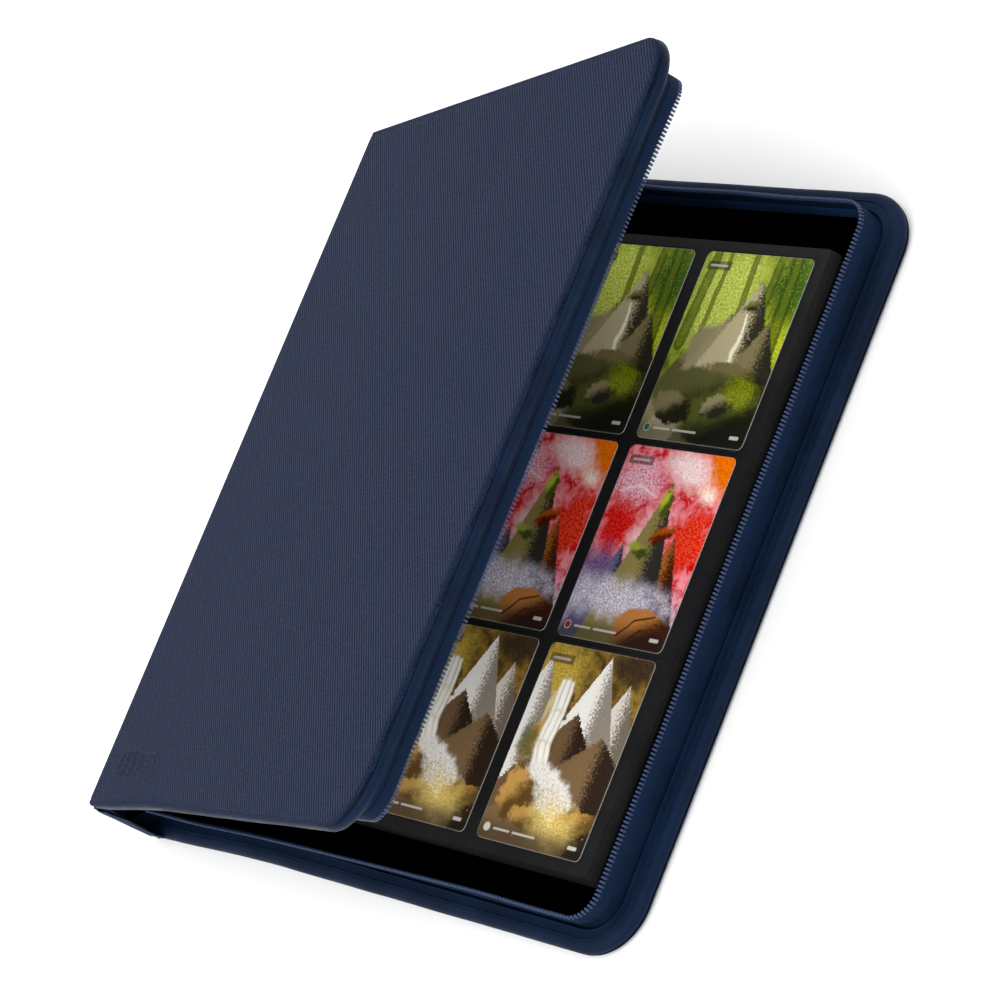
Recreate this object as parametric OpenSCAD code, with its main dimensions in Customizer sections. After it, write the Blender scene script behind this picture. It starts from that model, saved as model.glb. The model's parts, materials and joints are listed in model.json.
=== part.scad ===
// Trading card binder: a zip-round cover in two equal halves, a stiff spine between them and
// twenty leaves of side-loading pockets, four across and three down.
// It lies on its back cover, and the front cover is lifted a little.
// X runs from the spine to the fore-edge, Y to the head of the pages, Z up from the table.
// The origin is the middle of the back cover, on the table.

/* [Cards] */
// Width of one card
card_w = 63; // [56:0.5:70]
// Height of one card
card_h = 88; // [80:0.5:96]
// Thickness of one card
card_t = 0.3; // [0.2:0.05:0.6]
// Corner radius of a card
card_r = 3; // [1:0.5:5]
// Seam between two pockets of a row, card to card
seam_x = 7.74; // [4:0.02:12]
// Seam between two rows of pockets, card to card
seam_y = 3.35; // [2:0.05:8]
// Pockets in a row
columns = 4; // [4:1:4]
// Rows of pockets
rows = 3; // [3:1:3]

/* [Leaves] */
// Leaves in the binder
leaf_count = 20; // [20:1:20]
// Thickness of one filled leaf
leaf_t = 0.72; // [0.4:0.02:0.8]
// Step from one leaf to the next
leaf_step = 0.86; // [0.8:0.01:1]
// Margin outside the outer pockets, at head, tail and fore-edge
leaf_margin = 5.2; // [3:0.1:8]
// Extra margin at the fore-edge
leaf_fore_margin = 1.4; // [0:0.1:4]
// How far the leaves' middle is below the cover's middle
leaf_drop = 3.8; // [0:0.1:8]
// How far the fore-edges of the leaves are fanned
leaf_fan = 2; // [0:0.1:4]
// Thickness of the clear film on the top leaf
film_t = 0.16; // [0.1:0.02:0.4]

/* [Cover] */
// Width of a cover, from the spine to the fore-edge
cover_w = 320; // [300:1:340]
// Height of a cover
cover_h = 342; // [330:1:360]
// Corner radius at the fore-edge
corner_r = 25; // [18:1:35]
// Thickness of the closed binder
closed_t = 41; // [40:0.5:46]
// Thickness of the outer skin
skin_t = 0.8; // [0.5:0.1:1.5]
// Thickness of the stiff board
board_t = 2.2; // [1.5:0.1:3]
// Thickness of the inner lining
lining_t = 1; // [0.5:0.1:1.5]
// How far the front cover is lifted from closed, in degrees
lift = 19.8; // [0:0.1:90]

/* [Rim] */
// Width of the padded rim round the zip sides
rim_w = 9.8; // [8:0.1:9.8]
// Height of the padded rim, from the outer face
rim_h = 7.6; // [6:0.1:9]
// How far the rim wraps over the edge of the board
rim_lip = 2; // [1:0.1:4]
// Radius of the two corded ridges on the rim
ridge_r = 0.8; // [0.4:0.1:1.2]

/* [Zip] */
// Distance from the fore-edge to the middle of the zip wall
wall_fore_in = 12.8; // [12:0.1:14]
// Distance from head or tail to the middle of the zip wall
wall_side_in = 10.6; // [10.6:0.1:13]
// Corner radius of the middle of the zip wall
wall_r = 12.4; // [8:0.1:13]
// Thickness of the zip wall
wall_t = 1.2; // [0.8:0.1:1.6]
// Height of the top of the wall, from the outer face
wall_h = 14.6; // [12:0.1:16]
// Height of the top of the zip tape, from the outer face
tape_h = 16.6; // [15:0.1:17]
// Thickness of the zip tape
tape_t = 0.8; // [0.5:0.1:1]
// Height of the tooth tips, from the outer face
tooth_h = 19.6; // [19:0.1:19.6]
// Thickness of a tooth, through the wall
tooth_t = 1.8; // [1.2:0.1:2.2]
// Spacing of the teeth
tooth_step = 1.8; // [1.6:0.1:3]
// Distance from the spine to the start of the zip wall
wall_start = 14; // [12:1:30]
// Length of the slider
slider_l = 12; // [9:0.5:16]
// Length of the pull
pull_l = 24; // [15:1:30]

/* [Hidden] */
$fn = 48;
half_w = cover_w / 2;
half_h = cover_h / 2;
spine_t = 3.2;
fold_x = -half_w + spine_t / 2;       // both fold lines stand here
fold_low = spine_t / 2;               // height of the back fold
fold_high = closed_t - spine_t / 2;   // height of the front fold
floor_z = skin_t + board_t + lining_t;
in_x = half_w - corner_r;             // centre of a fore-edge corner
in_y = half_h - corner_r;
wall_x = -half_w + wall_start;
wall_hw = half_w - wall_fore_in;      // zip wall, out to its middle
wall_hh = half_h - wall_side_in;
plate_x = fold_x + 2.2;               // stiff panels start past the fold
tooth_w = tooth_step / 2;
bead_h = 0.8;                         // cord along the foot of the teeth
navy = [0.10, 0.16, 0.27];
slate = [0.20, 0.24, 0.33];
black = [0.03, 0.03, 0.03];
grey = [0.18, 0.18, 0.19];
card_brown = [0.4, 0.37, 0.32];
clear = 0.3;                          // play between pieces that move past each other

// Leaves
grid_w = columns * card_w + (columns - 1) * seam_x;
grid_h = rows * card_h + (rows - 1) * seam_y;
leaf_h = grid_h + 2 * leaf_margin;
leaf_x = -half_w + 5.5;               // root of every leaf
grid_x = leaf_x + 12.6;               // left edge of the first card
leaf_w = grid_x - leaf_x + grid_w + leaf_margin + leaf_fore_margin;
stack_z = floor_z + 0.9;
stack_top = stack_z + leaf_count * leaf_step;

// ---- shared shapes ----

// Flat panel from x0 to w, and h to either side: square at the spine, round at the fore-edge.
module panel(x0, w, h, r, z0, thick) translate([0, 0, z0]) linear_extrude(thick) union() {
    translate([x0, -h]) square([w - r - x0, 2 * h]);
    translate([w - r - 1, r - h]) square([r + 1, 2 * (h - r)]);
    for (side = [-1, 1]) translate([w - r, side * (h - r)]) circle(r);
}

// A panel of the cover's own outline, drawn in by inset.
module cover_panel(x0, inset, z0, thick)
    panel(x0, half_w - inset, half_h - inset, corner_r - inset, z0, thick);

// Sweeps a section round three sides; (cx, cy) is a corner's centre, and the section's X is
// the distance from it.
module round_three_sides(x0, cx, cy) {
    translate([cx, cy, 0]) rotate([90, 0, 0]) linear_extrude(2 * cy) children();
    translate([cx, cy, 0]) rotate_extrude(angle = 90) children();
    translate([cx, -cy, 0]) rotate([0, 0, -90]) rotate_extrude(angle = 90) children();
    translate([x0, cy, 0]) rotate([90, 0, 90]) linear_extrude(cx - x0) children();
    translate([cx, -cy, 0]) rotate([90, 0, -90]) linear_extrude(cx - x0) children();
}

// Turns a back-half shape over and lifts it to be the front half.
module front_place() {
    translate([fold_x, 0, fold_high]) rotate([0, -lift, 0]) translate([-fold_x, 0, -fold_high])
        translate([0, 0, closed_t]) rotate([180, 0, 0]) children();
}

// Section of the padded rim: a lip over the board's edge, a soft side and two ridges on top.
module rim_section() {
    outer = corner_r;
    soft = 2.4;
    foot = skin_t + board_t;
    translate([outer - soft, rim_h - soft]) circle(soft);
    translate([outer - rim_w, foot]) square([rim_w - soft, rim_h - foot]);
    translate([outer - soft, foot]) square([soft, rim_h - soft - foot]);
    translate([outer - rim_lip, 1.1]) square([rim_lip, foot - 1.1 + 0.2]);
    translate([outer - rim_lip, 1.1]) circle(0.9);
    for (d = [4.6, rim_w - ridge_r]) translate([outer - d, rim_h - 0.3]) circle(ridge_r);
}

// A run of teeth on their bead, along X with the tips up along Y.
module comb(run) {
    n = floor(run / tooth_step);
    p = run / n;
    linear_extrude(tooth_t) polygon(concat(
        [[0, 0], [0, bead_h]],
        [for (i = [0 : n - 1]) each [
            [(i + 0.5) * p - tooth_w / 2, bead_h],
            [(i + 0.5) * p - tooth_w / 2, tooth_h - tape_h],
            [(i + 0.5) * p + tooth_w / 2, tooth_h - tape_h],
            [(i + 0.5) * p + tooth_w / 2, bead_h]]],
        [[run, bead_h], [run, 0]]));
}

// One rounded corner of teeth.
module comb_corner() {
    n = floor(wall_r * PI / 2 / tooth_step);
    rotate_extrude(angle = 90) translate([wall_r - tooth_t / 2, 0]) square([tooth_t, bead_h]);
    for (i = [0 : n - 1]) rotate([0, 0, (i + 0.5) * 90 / n])
        translate([wall_r - tooth_t / 2, -tooth_w / 2, 0])
            cube([tooth_t, tooth_w, tooth_h - tape_h]);
}

// ---- one half of the cover, in the place of the back half ----

module half_skin() color(slate) cover_panel(plate_x, rim_lip + 0.9, 0, skin_t);

module half_board() color(card_brown) cover_panel(plate_x, rim_lip, skin_t, board_t);

module half_lining() color(black) panel(plate_x, wall_hw - wall_t / 2, wall_hh - wall_t / 2,
    wall_r - wall_t / 2, skin_t + board_t, lining_t);

module half_rim() color(navy) difference() {
    round_three_sides(plate_x, in_x, in_y) rim_section();
    cover_panel(plate_x - 1, rim_lip, skin_t, board_t);
    cover_panel(plate_x - 1, rim_lip + 0.9, -0.1, skin_t + 0.2);
}

// A band of the zip wall, from height low to height high.
module wall_band(low, high, thick) color(navy)
    round_three_sides(wall_x, wall_hw - wall_r, wall_hh - wall_r)
        translate([wall_r - thick / 2, low]) square([thick, high - low]);

module half_wall() wall_band(skin_t + board_t, wall_h, wall_t);

module half_tape() wall_band(wall_h, tape_h, tape_t);

module half_teeth() color(slate) translate([0, 0, tape_h]) {
    cx = wall_hw - wall_r;
    cy = wall_hh - wall_r;
    translate([wall_hw + tooth_t / 2, -cy, 0]) rotate([90, 0, 90]) translate([0, 0, -tooth_t])
        comb(2 * cy);
    for (y = [-wall_hh, wall_hh]) translate([wall_x, y + tooth_t / 2, 0]) rotate([90, 0, 0])
        comb(cx - wall_x);
    translate([cx, cy, 0]) comb_corner();
    translate([cx, -cy, 0]) rotate([0, 0, -90]) comb_corner();
}

module back_skin() half_skin();
module back_board() half_board();
module back_lining() half_lining();
module back_rim() half_rim();
module back_wall() half_wall();
module back_tape() half_tape();
module back_teeth() half_teeth();

module front_skin() front_place() half_skin();
module front_board() front_place() half_board();
module front_lining() front_place() half_lining();
module front_rim() front_place() half_rim();
module front_wall() front_place() half_wall();
module front_tape() front_place() half_tape();
module front_teeth() front_place() half_teeth();

// ---- spine ----

spine_end = 3.8;   // the stiff spine stops this far from either outer face

module spine_sheet(x0, thick, grow) translate([x0, -half_h, spine_end - grow])
    cube([thick, cover_h, closed_t - 2 * spine_end + 2 * grow]);

module spine_skin() color(slate) spine_sheet(-half_w, 0.8, 1.4);

module spine_board() color(card_brown) spine_sheet(-half_w + 0.8, 1.6, 0);

module spine_lining() color(black) spine_sheet(-half_w + 2.4, 0.8, 0);

// Folded end of the zip, stitched to the end of the spine.
module end_tab(side) color(slate) {
    tab_w = 13;
    tab_t = 1.2;
    foot = 4.4;
    y0 = side > 0 ? half_h + clear : -half_h - clear - tab_t;
    translate([-half_w, y0, foot]) cube([tab_w, tab_t, closed_t - 2 * foot]);
    translate([-half_w, side > 0 ? half_h : -half_h - clear, foot])
        cube([3, clear, closed_t - 2 * foot]);
}

module tab_head() end_tab(1);
module tab_tail() end_tab(-1);

// ---- slider and pull, parked by the spine on the head side ----

slider_x = wall_x + 24;
slider_y = wall_hh;
slider_foot = 12.6;
slider_top = 20.3;
cheek_in = tooth_t / 2 + clear;
cheek_out = cheek_in + 2;
pin_y = cheek_out + 1.9;
pin_r = 0.6;
ear_t = 0.8;                          // ears that carry the pull's pin
pull_foot = 1.6;                      // the pull starts this far above the slider's foot

module slider() color(navy) translate([slider_x, slider_y, 0]) {
    difference() {
        translate([-slider_l / 2, -cheek_out, slider_foot])
            cube([slider_l, 2 * cheek_out, slider_top - slider_foot]);
        translate([-slider_l, -cheek_in, slider_foot - 1])
            cube([2 * slider_l, 2 * cheek_in, tooth_h + 0.2 - slider_foot + 1]);
    }
    for (z = [slider_foot + ear_t / 2, slider_top - 1.5 * ear_t])
        translate([-2 * pin_r - 0.4, cheek_out - 0.1, z])
            cube([4 * pin_r + 0.8, pin_y - cheek_out + 1.4, ear_t]);
    translate([0, pin_y, slider_foot + ear_t])
        cylinder(r = pin_r, h = slider_top - slider_foot - 2 * ear_t);
}

module pull() color(slate) translate([slider_x, slider_y + pin_y, slider_foot + pull_foot]) {
    tall = slider_top - slider_foot - 2 * pull_foot;
    eye_r = 1.5;
    thick = 1.2;
    reach = pull_l - tall / 2;
    difference() {
        union() {
            cylinder(r = eye_r, h = tall);
            translate([-reach, -thick / 2, 0]) cube([reach - pin_r - 0.4, thick, tall]);
            translate([-reach, thick / 2, tall / 2]) rotate([90, 0, 0])
                cylinder(r = tall / 2, h = thick);
        }
        translate([0, 0, -1]) cylinder(r = pin_r + 0.2, h = tall + 2);
    }
}

// ---- leaves, cards and their binding ----

// Strip that holds the roots of the leaves, with a foot glued to the lining.
module binding_strip() color(black) {
    strip_t = 0.9;
    foot_w = 24;
    translate([leaf_x - clear - strip_t, -leaf_drop - leaf_h / 2, floor_z])
        cube([strip_t, leaf_h, stack_top - floor_z]);
    translate([leaf_x - clear - strip_t, -leaf_drop - leaf_h / 2, floor_z])
        cube([foot_w, leaf_h, 0.6]);
}

// Leaf i, counted from the top; the fore-edges step out a little and then back in.
module leaf(i) color(grey) {
    fan = leaf_fan * sin(min(i - 1, 9) * 20);
    extra = i > 10 ? -leaf_fan : fan;
    translate([leaf_x, -leaf_drop - leaf_h / 2, stack_top - i * leaf_step])
        cube([leaf_w + extra, leaf_h, leaf_t]);
}

module leaf_01() color(grey) difference() {
    leaf(1);
    for (c = [0 : columns - 1], r = [0 : rows - 1]) card_seat(c, r);
}
module leaf_02() leaf(2);
module leaf_03() leaf(3);
module leaf_04() leaf(4);
module leaf_05() leaf(5);
module leaf_06() leaf(6);
module leaf_07() leaf(7);
module leaf_08() leaf(8);
module leaf_09() leaf(9);
module leaf_10() leaf(10);
module leaf_11() leaf(11);
module leaf_12() leaf(12);
module leaf_13() leaf(13);
module leaf_14() leaf(14);
module leaf_15() leaf(15);
module leaf_16() leaf(16);
module leaf_17() leaf(17);
module leaf_18() leaf(18);
module leaf_19() leaf(19);
module leaf_20() leaf(20);

leaf_top = stack_top - leaf_step + leaf_t;
seat_play = 0.5;

// Corner of card (c, r): columns count from the spine, rows from the head.
function card_x(c) = grid_x + c * (card_w + seam_x);
function card_y(r) = -leaf_drop + grid_h / 2 - card_h - r * (card_h + seam_y);

module card_seat(c, r)
    translate([card_x(c) - seat_play, card_y(r) - seat_play, leaf_top - card_t - 0.02])
        cube([card_w + 2 * seat_play, card_h + 2 * seat_play, card_t + 1]);

module card(c, r) color([0.5, 0.55, 0.35]) translate([card_x(c), card_y(r), leaf_top - card_t])
    linear_extrude(card_t - 0.02) union() {
        translate([card_r, 0]) square([card_w - 2 * card_r, card_h]);
        translate([0, card_r]) square([card_w, card_h - 2 * card_r]);
        for (x = [card_r, card_w - card_r], y = [card_r, card_h - card_r]) translate([x, y])
            circle(card_r);
    }

// Clear film over the pockets of the top leaf.
module pocket_film() color([0.8, 0.85, 0.9, 0.3])
    translate([grid_x - 3, -leaf_drop - leaf_h / 2 + 1, leaf_top])
        cube([grid_w + 6, leaf_h - 2, film_t]);

module card_1a() card(0, 0);
module card_1b() card(1, 0);
module card_1c() card(2, 0);
module card_1d() card(3, 0);
module card_2a() card(0, 1);
module card_2b() card(1, 1);
module card_2c() card(2, 1);
module card_2d() card(3, 1);
module card_3a() card(0, 2);
module card_3b() card(1, 2);
module card_3c() card(2, 2);
module card_3d() card(3, 2);

back_skin();
back_board();
back_lining();
back_rim();
back_wall();
back_tape();
back_teeth();
front_skin();
front_board();
front_lining();
front_rim();
front_wall();
front_tape();
front_teeth();
spine_skin();
spine_board();
spine_lining();
tab_head();
tab_tail();
slider();
pull();
binding_strip();
pocket_film();
leaf_01();
leaf_02();
leaf_03();
leaf_04();
leaf_05();
leaf_06();
leaf_07();
leaf_08();
leaf_09();
leaf_10();
leaf_11();
leaf_12();
leaf_13();
leaf_14();
leaf_15();
leaf_16();
leaf_17();
leaf_18();
leaf_19();
leaf_20();
card_1a();
card_1b();
card_1c();
card_1d();
card_2a();
card_2b();
card_2c();
card_2d();
card_3a();
card_3b();
card_3c();
card_3d();
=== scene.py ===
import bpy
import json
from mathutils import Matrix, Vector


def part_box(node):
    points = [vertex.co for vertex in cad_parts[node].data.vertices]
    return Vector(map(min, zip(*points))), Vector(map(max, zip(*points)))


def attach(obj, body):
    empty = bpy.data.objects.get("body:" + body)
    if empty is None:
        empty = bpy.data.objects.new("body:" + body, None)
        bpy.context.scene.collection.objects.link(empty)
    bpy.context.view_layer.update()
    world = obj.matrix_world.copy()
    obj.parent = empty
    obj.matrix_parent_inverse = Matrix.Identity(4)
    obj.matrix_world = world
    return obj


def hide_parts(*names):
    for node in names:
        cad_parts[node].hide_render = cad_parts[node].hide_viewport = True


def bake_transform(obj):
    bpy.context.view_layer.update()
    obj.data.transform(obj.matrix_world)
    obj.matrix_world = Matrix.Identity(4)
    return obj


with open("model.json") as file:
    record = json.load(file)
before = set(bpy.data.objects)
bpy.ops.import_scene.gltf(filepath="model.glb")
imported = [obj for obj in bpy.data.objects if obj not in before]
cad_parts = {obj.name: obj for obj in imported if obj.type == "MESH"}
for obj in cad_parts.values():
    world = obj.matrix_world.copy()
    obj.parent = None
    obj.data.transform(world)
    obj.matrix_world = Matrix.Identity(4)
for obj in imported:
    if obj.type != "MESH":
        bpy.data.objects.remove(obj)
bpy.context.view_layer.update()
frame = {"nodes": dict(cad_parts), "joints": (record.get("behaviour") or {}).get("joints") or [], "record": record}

import json
import math

import bmesh
import bpy
from bmesh.types import BMEdge, BMVert
from mathutils import Matrix, Vector, noise

bl_info = {
    "name": "Trading Card Binder",
    "version": (1, 0, 0),
    "blender": (4, 5, 0),
    "location": "View3D > Sidebar > Binder",
    "description": "Builds a zip-round trading card binder around its CAD frame",
    "category": "Object",
}

# Lengths below are in millimetres; a piece is brought to metres when it is finished.


def box(node):
    low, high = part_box(node)
    return low * 1000, high * 1000


def joint(name):
    return next(j for j in frame["joints"] if j["name"] == name)


RIM_LOW, RIM_HIGH = box("back_rim")
WALL_LOW, WALL_HIGH = box("back_wall")
TEETH_LOW, TEETH_HIGH = box("back_teeth")
SPINE_LOW, SPINE_HIGH = box("spine_skin")
FOLD = Vector(joint("spine_fold")["pos_m"]) * 1000
FRONT_FOLD = Vector(joint("front_fold")["pos_m"]) * 1000
LIFT = -math.radians(joint("front_fold")["range_deg"][0])
HALF_W, HALF_H = RIM_HIGH.x, RIM_HIGH.y
CLOSED = FOLD.z + FRONT_FOLD.z
FLOOR = box("back_lining")[1].z
SKIN_BACK = HALF_W + FOLD.x          # the fold lines stand this far inside the outer faces
MID_SPINE = (FRONT_FOLD.z - FOLD.z) / 2
FRONT_PLACE = (
    Matrix.Translation(FRONT_FOLD)
    @ Matrix.Rotation(-LIFT, 4, "Y")
    @ Matrix.Translation(-FRONT_FOLD)
    @ Matrix.Translation((0, 0, CLOSED))
    @ Matrix.Rotation(math.pi, 4, "X")
)


def colour(hex_code):
    """Scene-linear RGBA of a display colour."""
    out = []
    for i in (0, 2, 4):
        c = int(hex_code[i:i + 2], 16) / 255
        out.append(c / 12.92 if c <= 0.04045 else ((c + 0.055) / 1.055) ** 2.4)
    return (*out, 1.0)


def size(name, description, value):
    return bpy.props.FloatProperty(
        name=name, description=description, default=value, min=0, unit="LENGTH", precision=5)


def paint(name, description, hex_code):
    return bpy.props.FloatVectorProperty(
        name=name, description=description, default=colour(hex_code), size=4, min=0, max=1,
        subtype="COLOR")


class BinderSizes(bpy.types.PropertyGroup):
    """Sizes that a maker would change; the rest comes from the frame"""

    corner: size("Corner radius", "Radius of the cover's fore-edge corners", 0.025)
    zip_corner: size("Zip corner radius", "Radius of the zip at the fore-edge corners", 0.0124)
    skin_turn: size("Spine turn", "Outer radius of the skin where it folds", 0.0024)
    rib_pitch: size("Rib pitch", "Spacing of the ribs of the cover fabric", 0.0018)
    tooth_pitch: size("Tooth pitch", "Spacing of the zip's teeth", 0.00185)
    stitch_pitch: size("Stitch pitch", "Spacing of the stitches along the edges", 0.0032)
    flare: size("Zip flare", "How far the zip leans out towards the spine", 0.0034)
    spread: size("Tail spread", "How far the fabric spreads at the tail end of the spine", 0.0028)
    leaf_corner: size("Leaf corner", "Corner radius of a leaf", 0.0022)
    card_corner: size("Card corner", "Corner radius of a card", 0.003)


class BinderColours(bpy.types.PropertyGroup):
    """Finishes of the binder"""

    # The ribbed cover's navy is painted in two tones: a darker colour in the grooves as painted shade, and a
    # lighter colour on the rib tops as a painted highlight.
    cover: paint("Cover", "Ribbed cover fabric", "0f1526")
    rib_highlight: paint("Cover ribs", "Tops of the ribs", "353e58")
    smooth: paint("Rim", "Smooth coated fabric of rims and walls", "081629")
    smooth_light: paint("Rim light", "Lighter mottling of the smooth fabric", "0d1f38")
    tape: paint("Zip tape", "Woven tape", "12233c")
    # Teeth tips: a painted highlight towards the tops of the teeth; the same colour marks the light specks on the
    # teeth and the slider.
    tooth: paint("Teeth", "Foot of the teeth", "0d1930")
    tooth_highlight_and_speck: paint("Teeth tips", "Tips of the teeth", "3a4866")
    metal: paint("Slider", "Enamel of the slider and pull", "0b1a30")
    lining: paint("Lining", "Black lining fabric", "030303")
    page: paint("Leaves", "Charcoal film of the leaves", "1d1d1f")
    page_speck: paint("Leaf speckle", "Fine speckle in the film", "454548")
    board: paint("Board", "Raw board inside the covers", "8a7d68")
    tab: paint("End tab", "Woven tab at the ends of the spine", "35425e")


def sizes():
    return bpy.context.scene.binder_sizes


def colours():
    return bpy.context.scene.binder_colours


def mm(value):
    return value * 1000


# ---- shader helpers ----


def put(tree, kind, inputs=None, **settings):
    """Adds a node, sets its properties, and links or sets its inputs."""
    n = tree.nodes.new(kind)
    for key, value in settings.items():
        setattr(n, key, value)
    for key, value in (inputs or {}).items():
        socket = n.inputs[key]
        if isinstance(value, bpy.types.NodeSocket):
            tree.links.new(value, socket)
        else:
            socket.default_value = value
    return n


def calc(tree, operation, a, b=0.0, c=0.0, clamp=False):
    n = put(tree, "ShaderNodeMath", {0: a, 1: b}, operation=operation, use_clamp=clamp)
    if operation in ("MULTIPLY_ADD", "SMOOTH_MIN", "SMOOTH_MAX"):
        if isinstance(c, bpy.types.NodeSocket):
            tree.links.new(c, n.inputs[2])
        else:
            n.inputs[2].default_value = c
    return n.outputs[0]


def ease(tree, value, low, high, to_low=0.0, to_high=1.0):
    return put(tree, "ShaderNodeMapRange", {
        "Value": value, "From Min": low, "From Max": high, "To Min": to_low, "To Max": to_high},
        interpolation_type="SMOOTHSTEP").outputs[0]


def mix(tree, factor, a, b, blend="MIX"):
    n = put(tree, "ShaderNodeMix", data_type="RGBA", blend_type=blend)
    for key, value in ((0, factor), (6, a), (7, b)):
        if isinstance(value, bpy.types.NodeSocket):
            tree.links.new(value, n.inputs[key])
        else:
            n.inputs[key].default_value = value
    return n.outputs[2]


def cloud(tree, vector, scale, detail=3.0, roughness=0.55, distortion=0.0):
    return put(tree, "ShaderNodeTexNoise", {
        "Vector": vector, "Scale": scale, "Detail": detail, "Roughness": roughness,
        "Distortion": distortion}).outputs[0]


def group(name, inputs, outputs):
    """A shader group with its sockets: (name, kind, default) each; returns it, its in and out."""
    kinds = {"float": "NodeSocketFloat", "vector": "NodeSocketVector", "colour": "NodeSocketColor"}
    g = bpy.data.node_groups.new(name, "ShaderNodeTree")
    for label, kind, value in inputs:
        s = g.interface.new_socket(name=label, in_out="INPUT", socket_type=kinds[kind])
        if value is not None:
            s.default_value = value
    for label, kind in outputs:
        g.interface.new_socket(name=label, in_out="OUTPUT", socket_type=kinds[kind])
    return g, g.nodes.new("NodeGroupInput"), g.nodes.new("NodeGroupOutput")


def use(tree, name, **inputs):
    n = tree.nodes.new("ShaderNodeGroup")
    n.node_tree = bpy.data.node_groups[name]
    for key, value in inputs.items():
        socket = n.inputs[key.replace("_", " ")]
        if isinstance(value, bpy.types.NodeSocket):
            tree.links.new(value, socket)
        else:
            socket.default_value = value
    return n


def make_rib_group():
    g, i, o = group("Ribs", [
        ("Place", "vector", None), ("Pitch", "float", 0.0018), ("Along X", "float", 0.707),
        ("Along Y", "float", 0.707)], [("Height", "float"), ("Top", "float"), ("Mottle", "float")])
    p = put(g, "ShaderNodeSeparateXYZ", {0: i.outputs["Place"]})
    across = calc(g, "SUBTRACT", calc(g, "MULTIPLY", p.outputs[0], i.outputs["Along Y"]),
                  calc(g, "MULTIPLY", p.outputs[1], i.outputs["Along X"]))
    along = calc(g, "ADD", calc(g, "MULTIPLY", p.outputs[0], i.outputs["Along X"]),
                 calc(g, "MULTIPLY", p.outputs[1], i.outputs["Along Y"]))
    wander = calc(g, "MULTIPLY", cloud(g, i.outputs["Place"], 90.0, 2.0), 0.00035)
    phase = calc(g, "DIVIDE", calc(g, "ADD", across, wander), i.outputs["Pitch"])
    wave = calc(g, "MULTIPLY_ADD", calc(g, "SINE", calc(g, "MULTIPLY", phase, 2 * math.pi)), 0.5,
        0.5)
    stretched = put(g, "ShaderNodeCombineXYZ", {
        0: calc(g, "MULTIPLY", across, 2200.0), 1: calc(g, "MULTIPLY", along, 700.0)})
    broken = cloud(g, stretched.outputs[0], 1.0, 3.0, 0.6)
    height = calc(g, "ADD", wave, calc(g, "MULTIPLY", broken, 0.7))
    g.links.new(height, o.inputs["Height"])
    # Top marks the rib crests, which the cover paints lighter as a highlight and makes less rough
    g.links.new(calc(g, "MULTIPLY", wave, ease(g, broken, 0.25, 0.7)), o.inputs["Top"])
    g.links.new(cloud(g, i.outputs["Place"], 14.0, 4.0, 0.6), o.inputs["Mottle"])


def make_grain_group():
    g, i, o = group("Grain", [("Place", "vector", None), ("Cell", "float", 900.0)],
                    [("Height", "float"), ("Tone", "float"), ("Crease", "float")])
    bent = put(g, "ShaderNodeVectorMath", {
        0: i.outputs["Place"],
        1: put(g, "ShaderNodeVectorMath", {0: put(g, "ShaderNodeTexNoise", {
            "Vector": i.outputs["Place"], "Scale": 260.0, "Detail": 2.0}).outputs[1],
            1: (0.0012, 0.0012, 0.0012)}, operation="MULTIPLY").outputs[0]}, operation="ADD")
    cells = put(g, "ShaderNodeTexVoronoi", {"Vector": bent.outputs[0], "Scale": i.outputs["Cell"]},
                feature="DISTANCE_TO_EDGE")
    pebble = ease(g, cells.outputs[0], 0.0, 0.22)
    fine = cloud(g, i.outputs["Place"], 2400.0, 2.0, 0.6)
    g.links.new(calc(g, "ADD", pebble, calc(g, "MULTIPLY", fine, 0.5)), o.inputs["Height"])
    g.links.new(ease(g, cloud(g, i.outputs["Place"], 34.0, 4.0, 0.6), 0.3, 0.72), o.inputs["Tone"])
    g.links.new(calc(g, "SUBTRACT", 1.0, pebble), o.inputs["Crease"])


def make_weave_group():
    g, i, o = group("Weave", [
        ("Place", "vector", None), ("Warp", "float", 0.0008), ("Weft", "float", 0.0006)],
        [("Height", "float"), ("Thread", "float"), ("Fuzz", "float")])
    p = put(g, "ShaderNodeSeparateXYZ", {0: i.outputs["Place"]})
    u = calc(g, "DIVIDE", p.outputs[0], i.outputs["Warp"])
    v = calc(g, "DIVIDE", p.outputs[1], i.outputs["Weft"])
    lines = calc(g, "ABSOLUTE", calc(g, "SINE", calc(g, "MULTIPLY", u, math.pi)))
    shift = calc(g, "MULTIPLY", calc(g, "FLOOR", u), 0.5)
    rows = calc(g, "ABSOLUTE", calc(g, "SINE", calc(g, "MULTIPLY", calc(g, "ADD", v, shift),
        math.pi)))
    fuzz = cloud(g, i.outputs["Place"], 3000.0, 2.0, 0.7)
    thread = calc(g, "MULTIPLY", lines, calc(g, "MULTIPLY_ADD", rows, 0.6, 0.4))
    g.links.new(calc(g, "ADD", thread, calc(g, "MULTIPLY", fuzz, 0.25)), o.inputs["Height"])
    g.links.new(thread, o.inputs["Thread"])
    g.links.new(fuzz, o.inputs["Fuzz"])


def make_speckle_group():
    g, i, o = group("Speckle", [("Place", "vector", None), ("Scale", "float", 900.0),
                                ("Share", "float", 0.3)],
                    [("Specks", "float"), ("Drift", "float"), ("Height", "float")])
    spots = put(g, "ShaderNodeTexVoronoi", {"Vector": i.outputs["Place"],
        "Scale": i.outputs["Scale"]})
    near = ease(g, spots.outputs["Distance"], 0.0, 0.34, 1.0, 0.0)
    tone = put(g, "ShaderNodeSeparateColor", {0: spots.outputs["Color"]})
    some = ease(g, tone.outputs[0], calc(g, "SUBTRACT", 1.0, i.outputs["Share"]), 1.0)
    g.links.new(calc(g, "MULTIPLY", near, some), o.inputs["Specks"])
    g.links.new(cloud(g, i.outputs["Place"], 40.0, 4.0, 0.6), o.inputs["Drift"])
    g.links.new(cloud(g, i.outputs["Place"], 1500.0, 2.0, 0.5), o.inputs["Height"])


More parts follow.
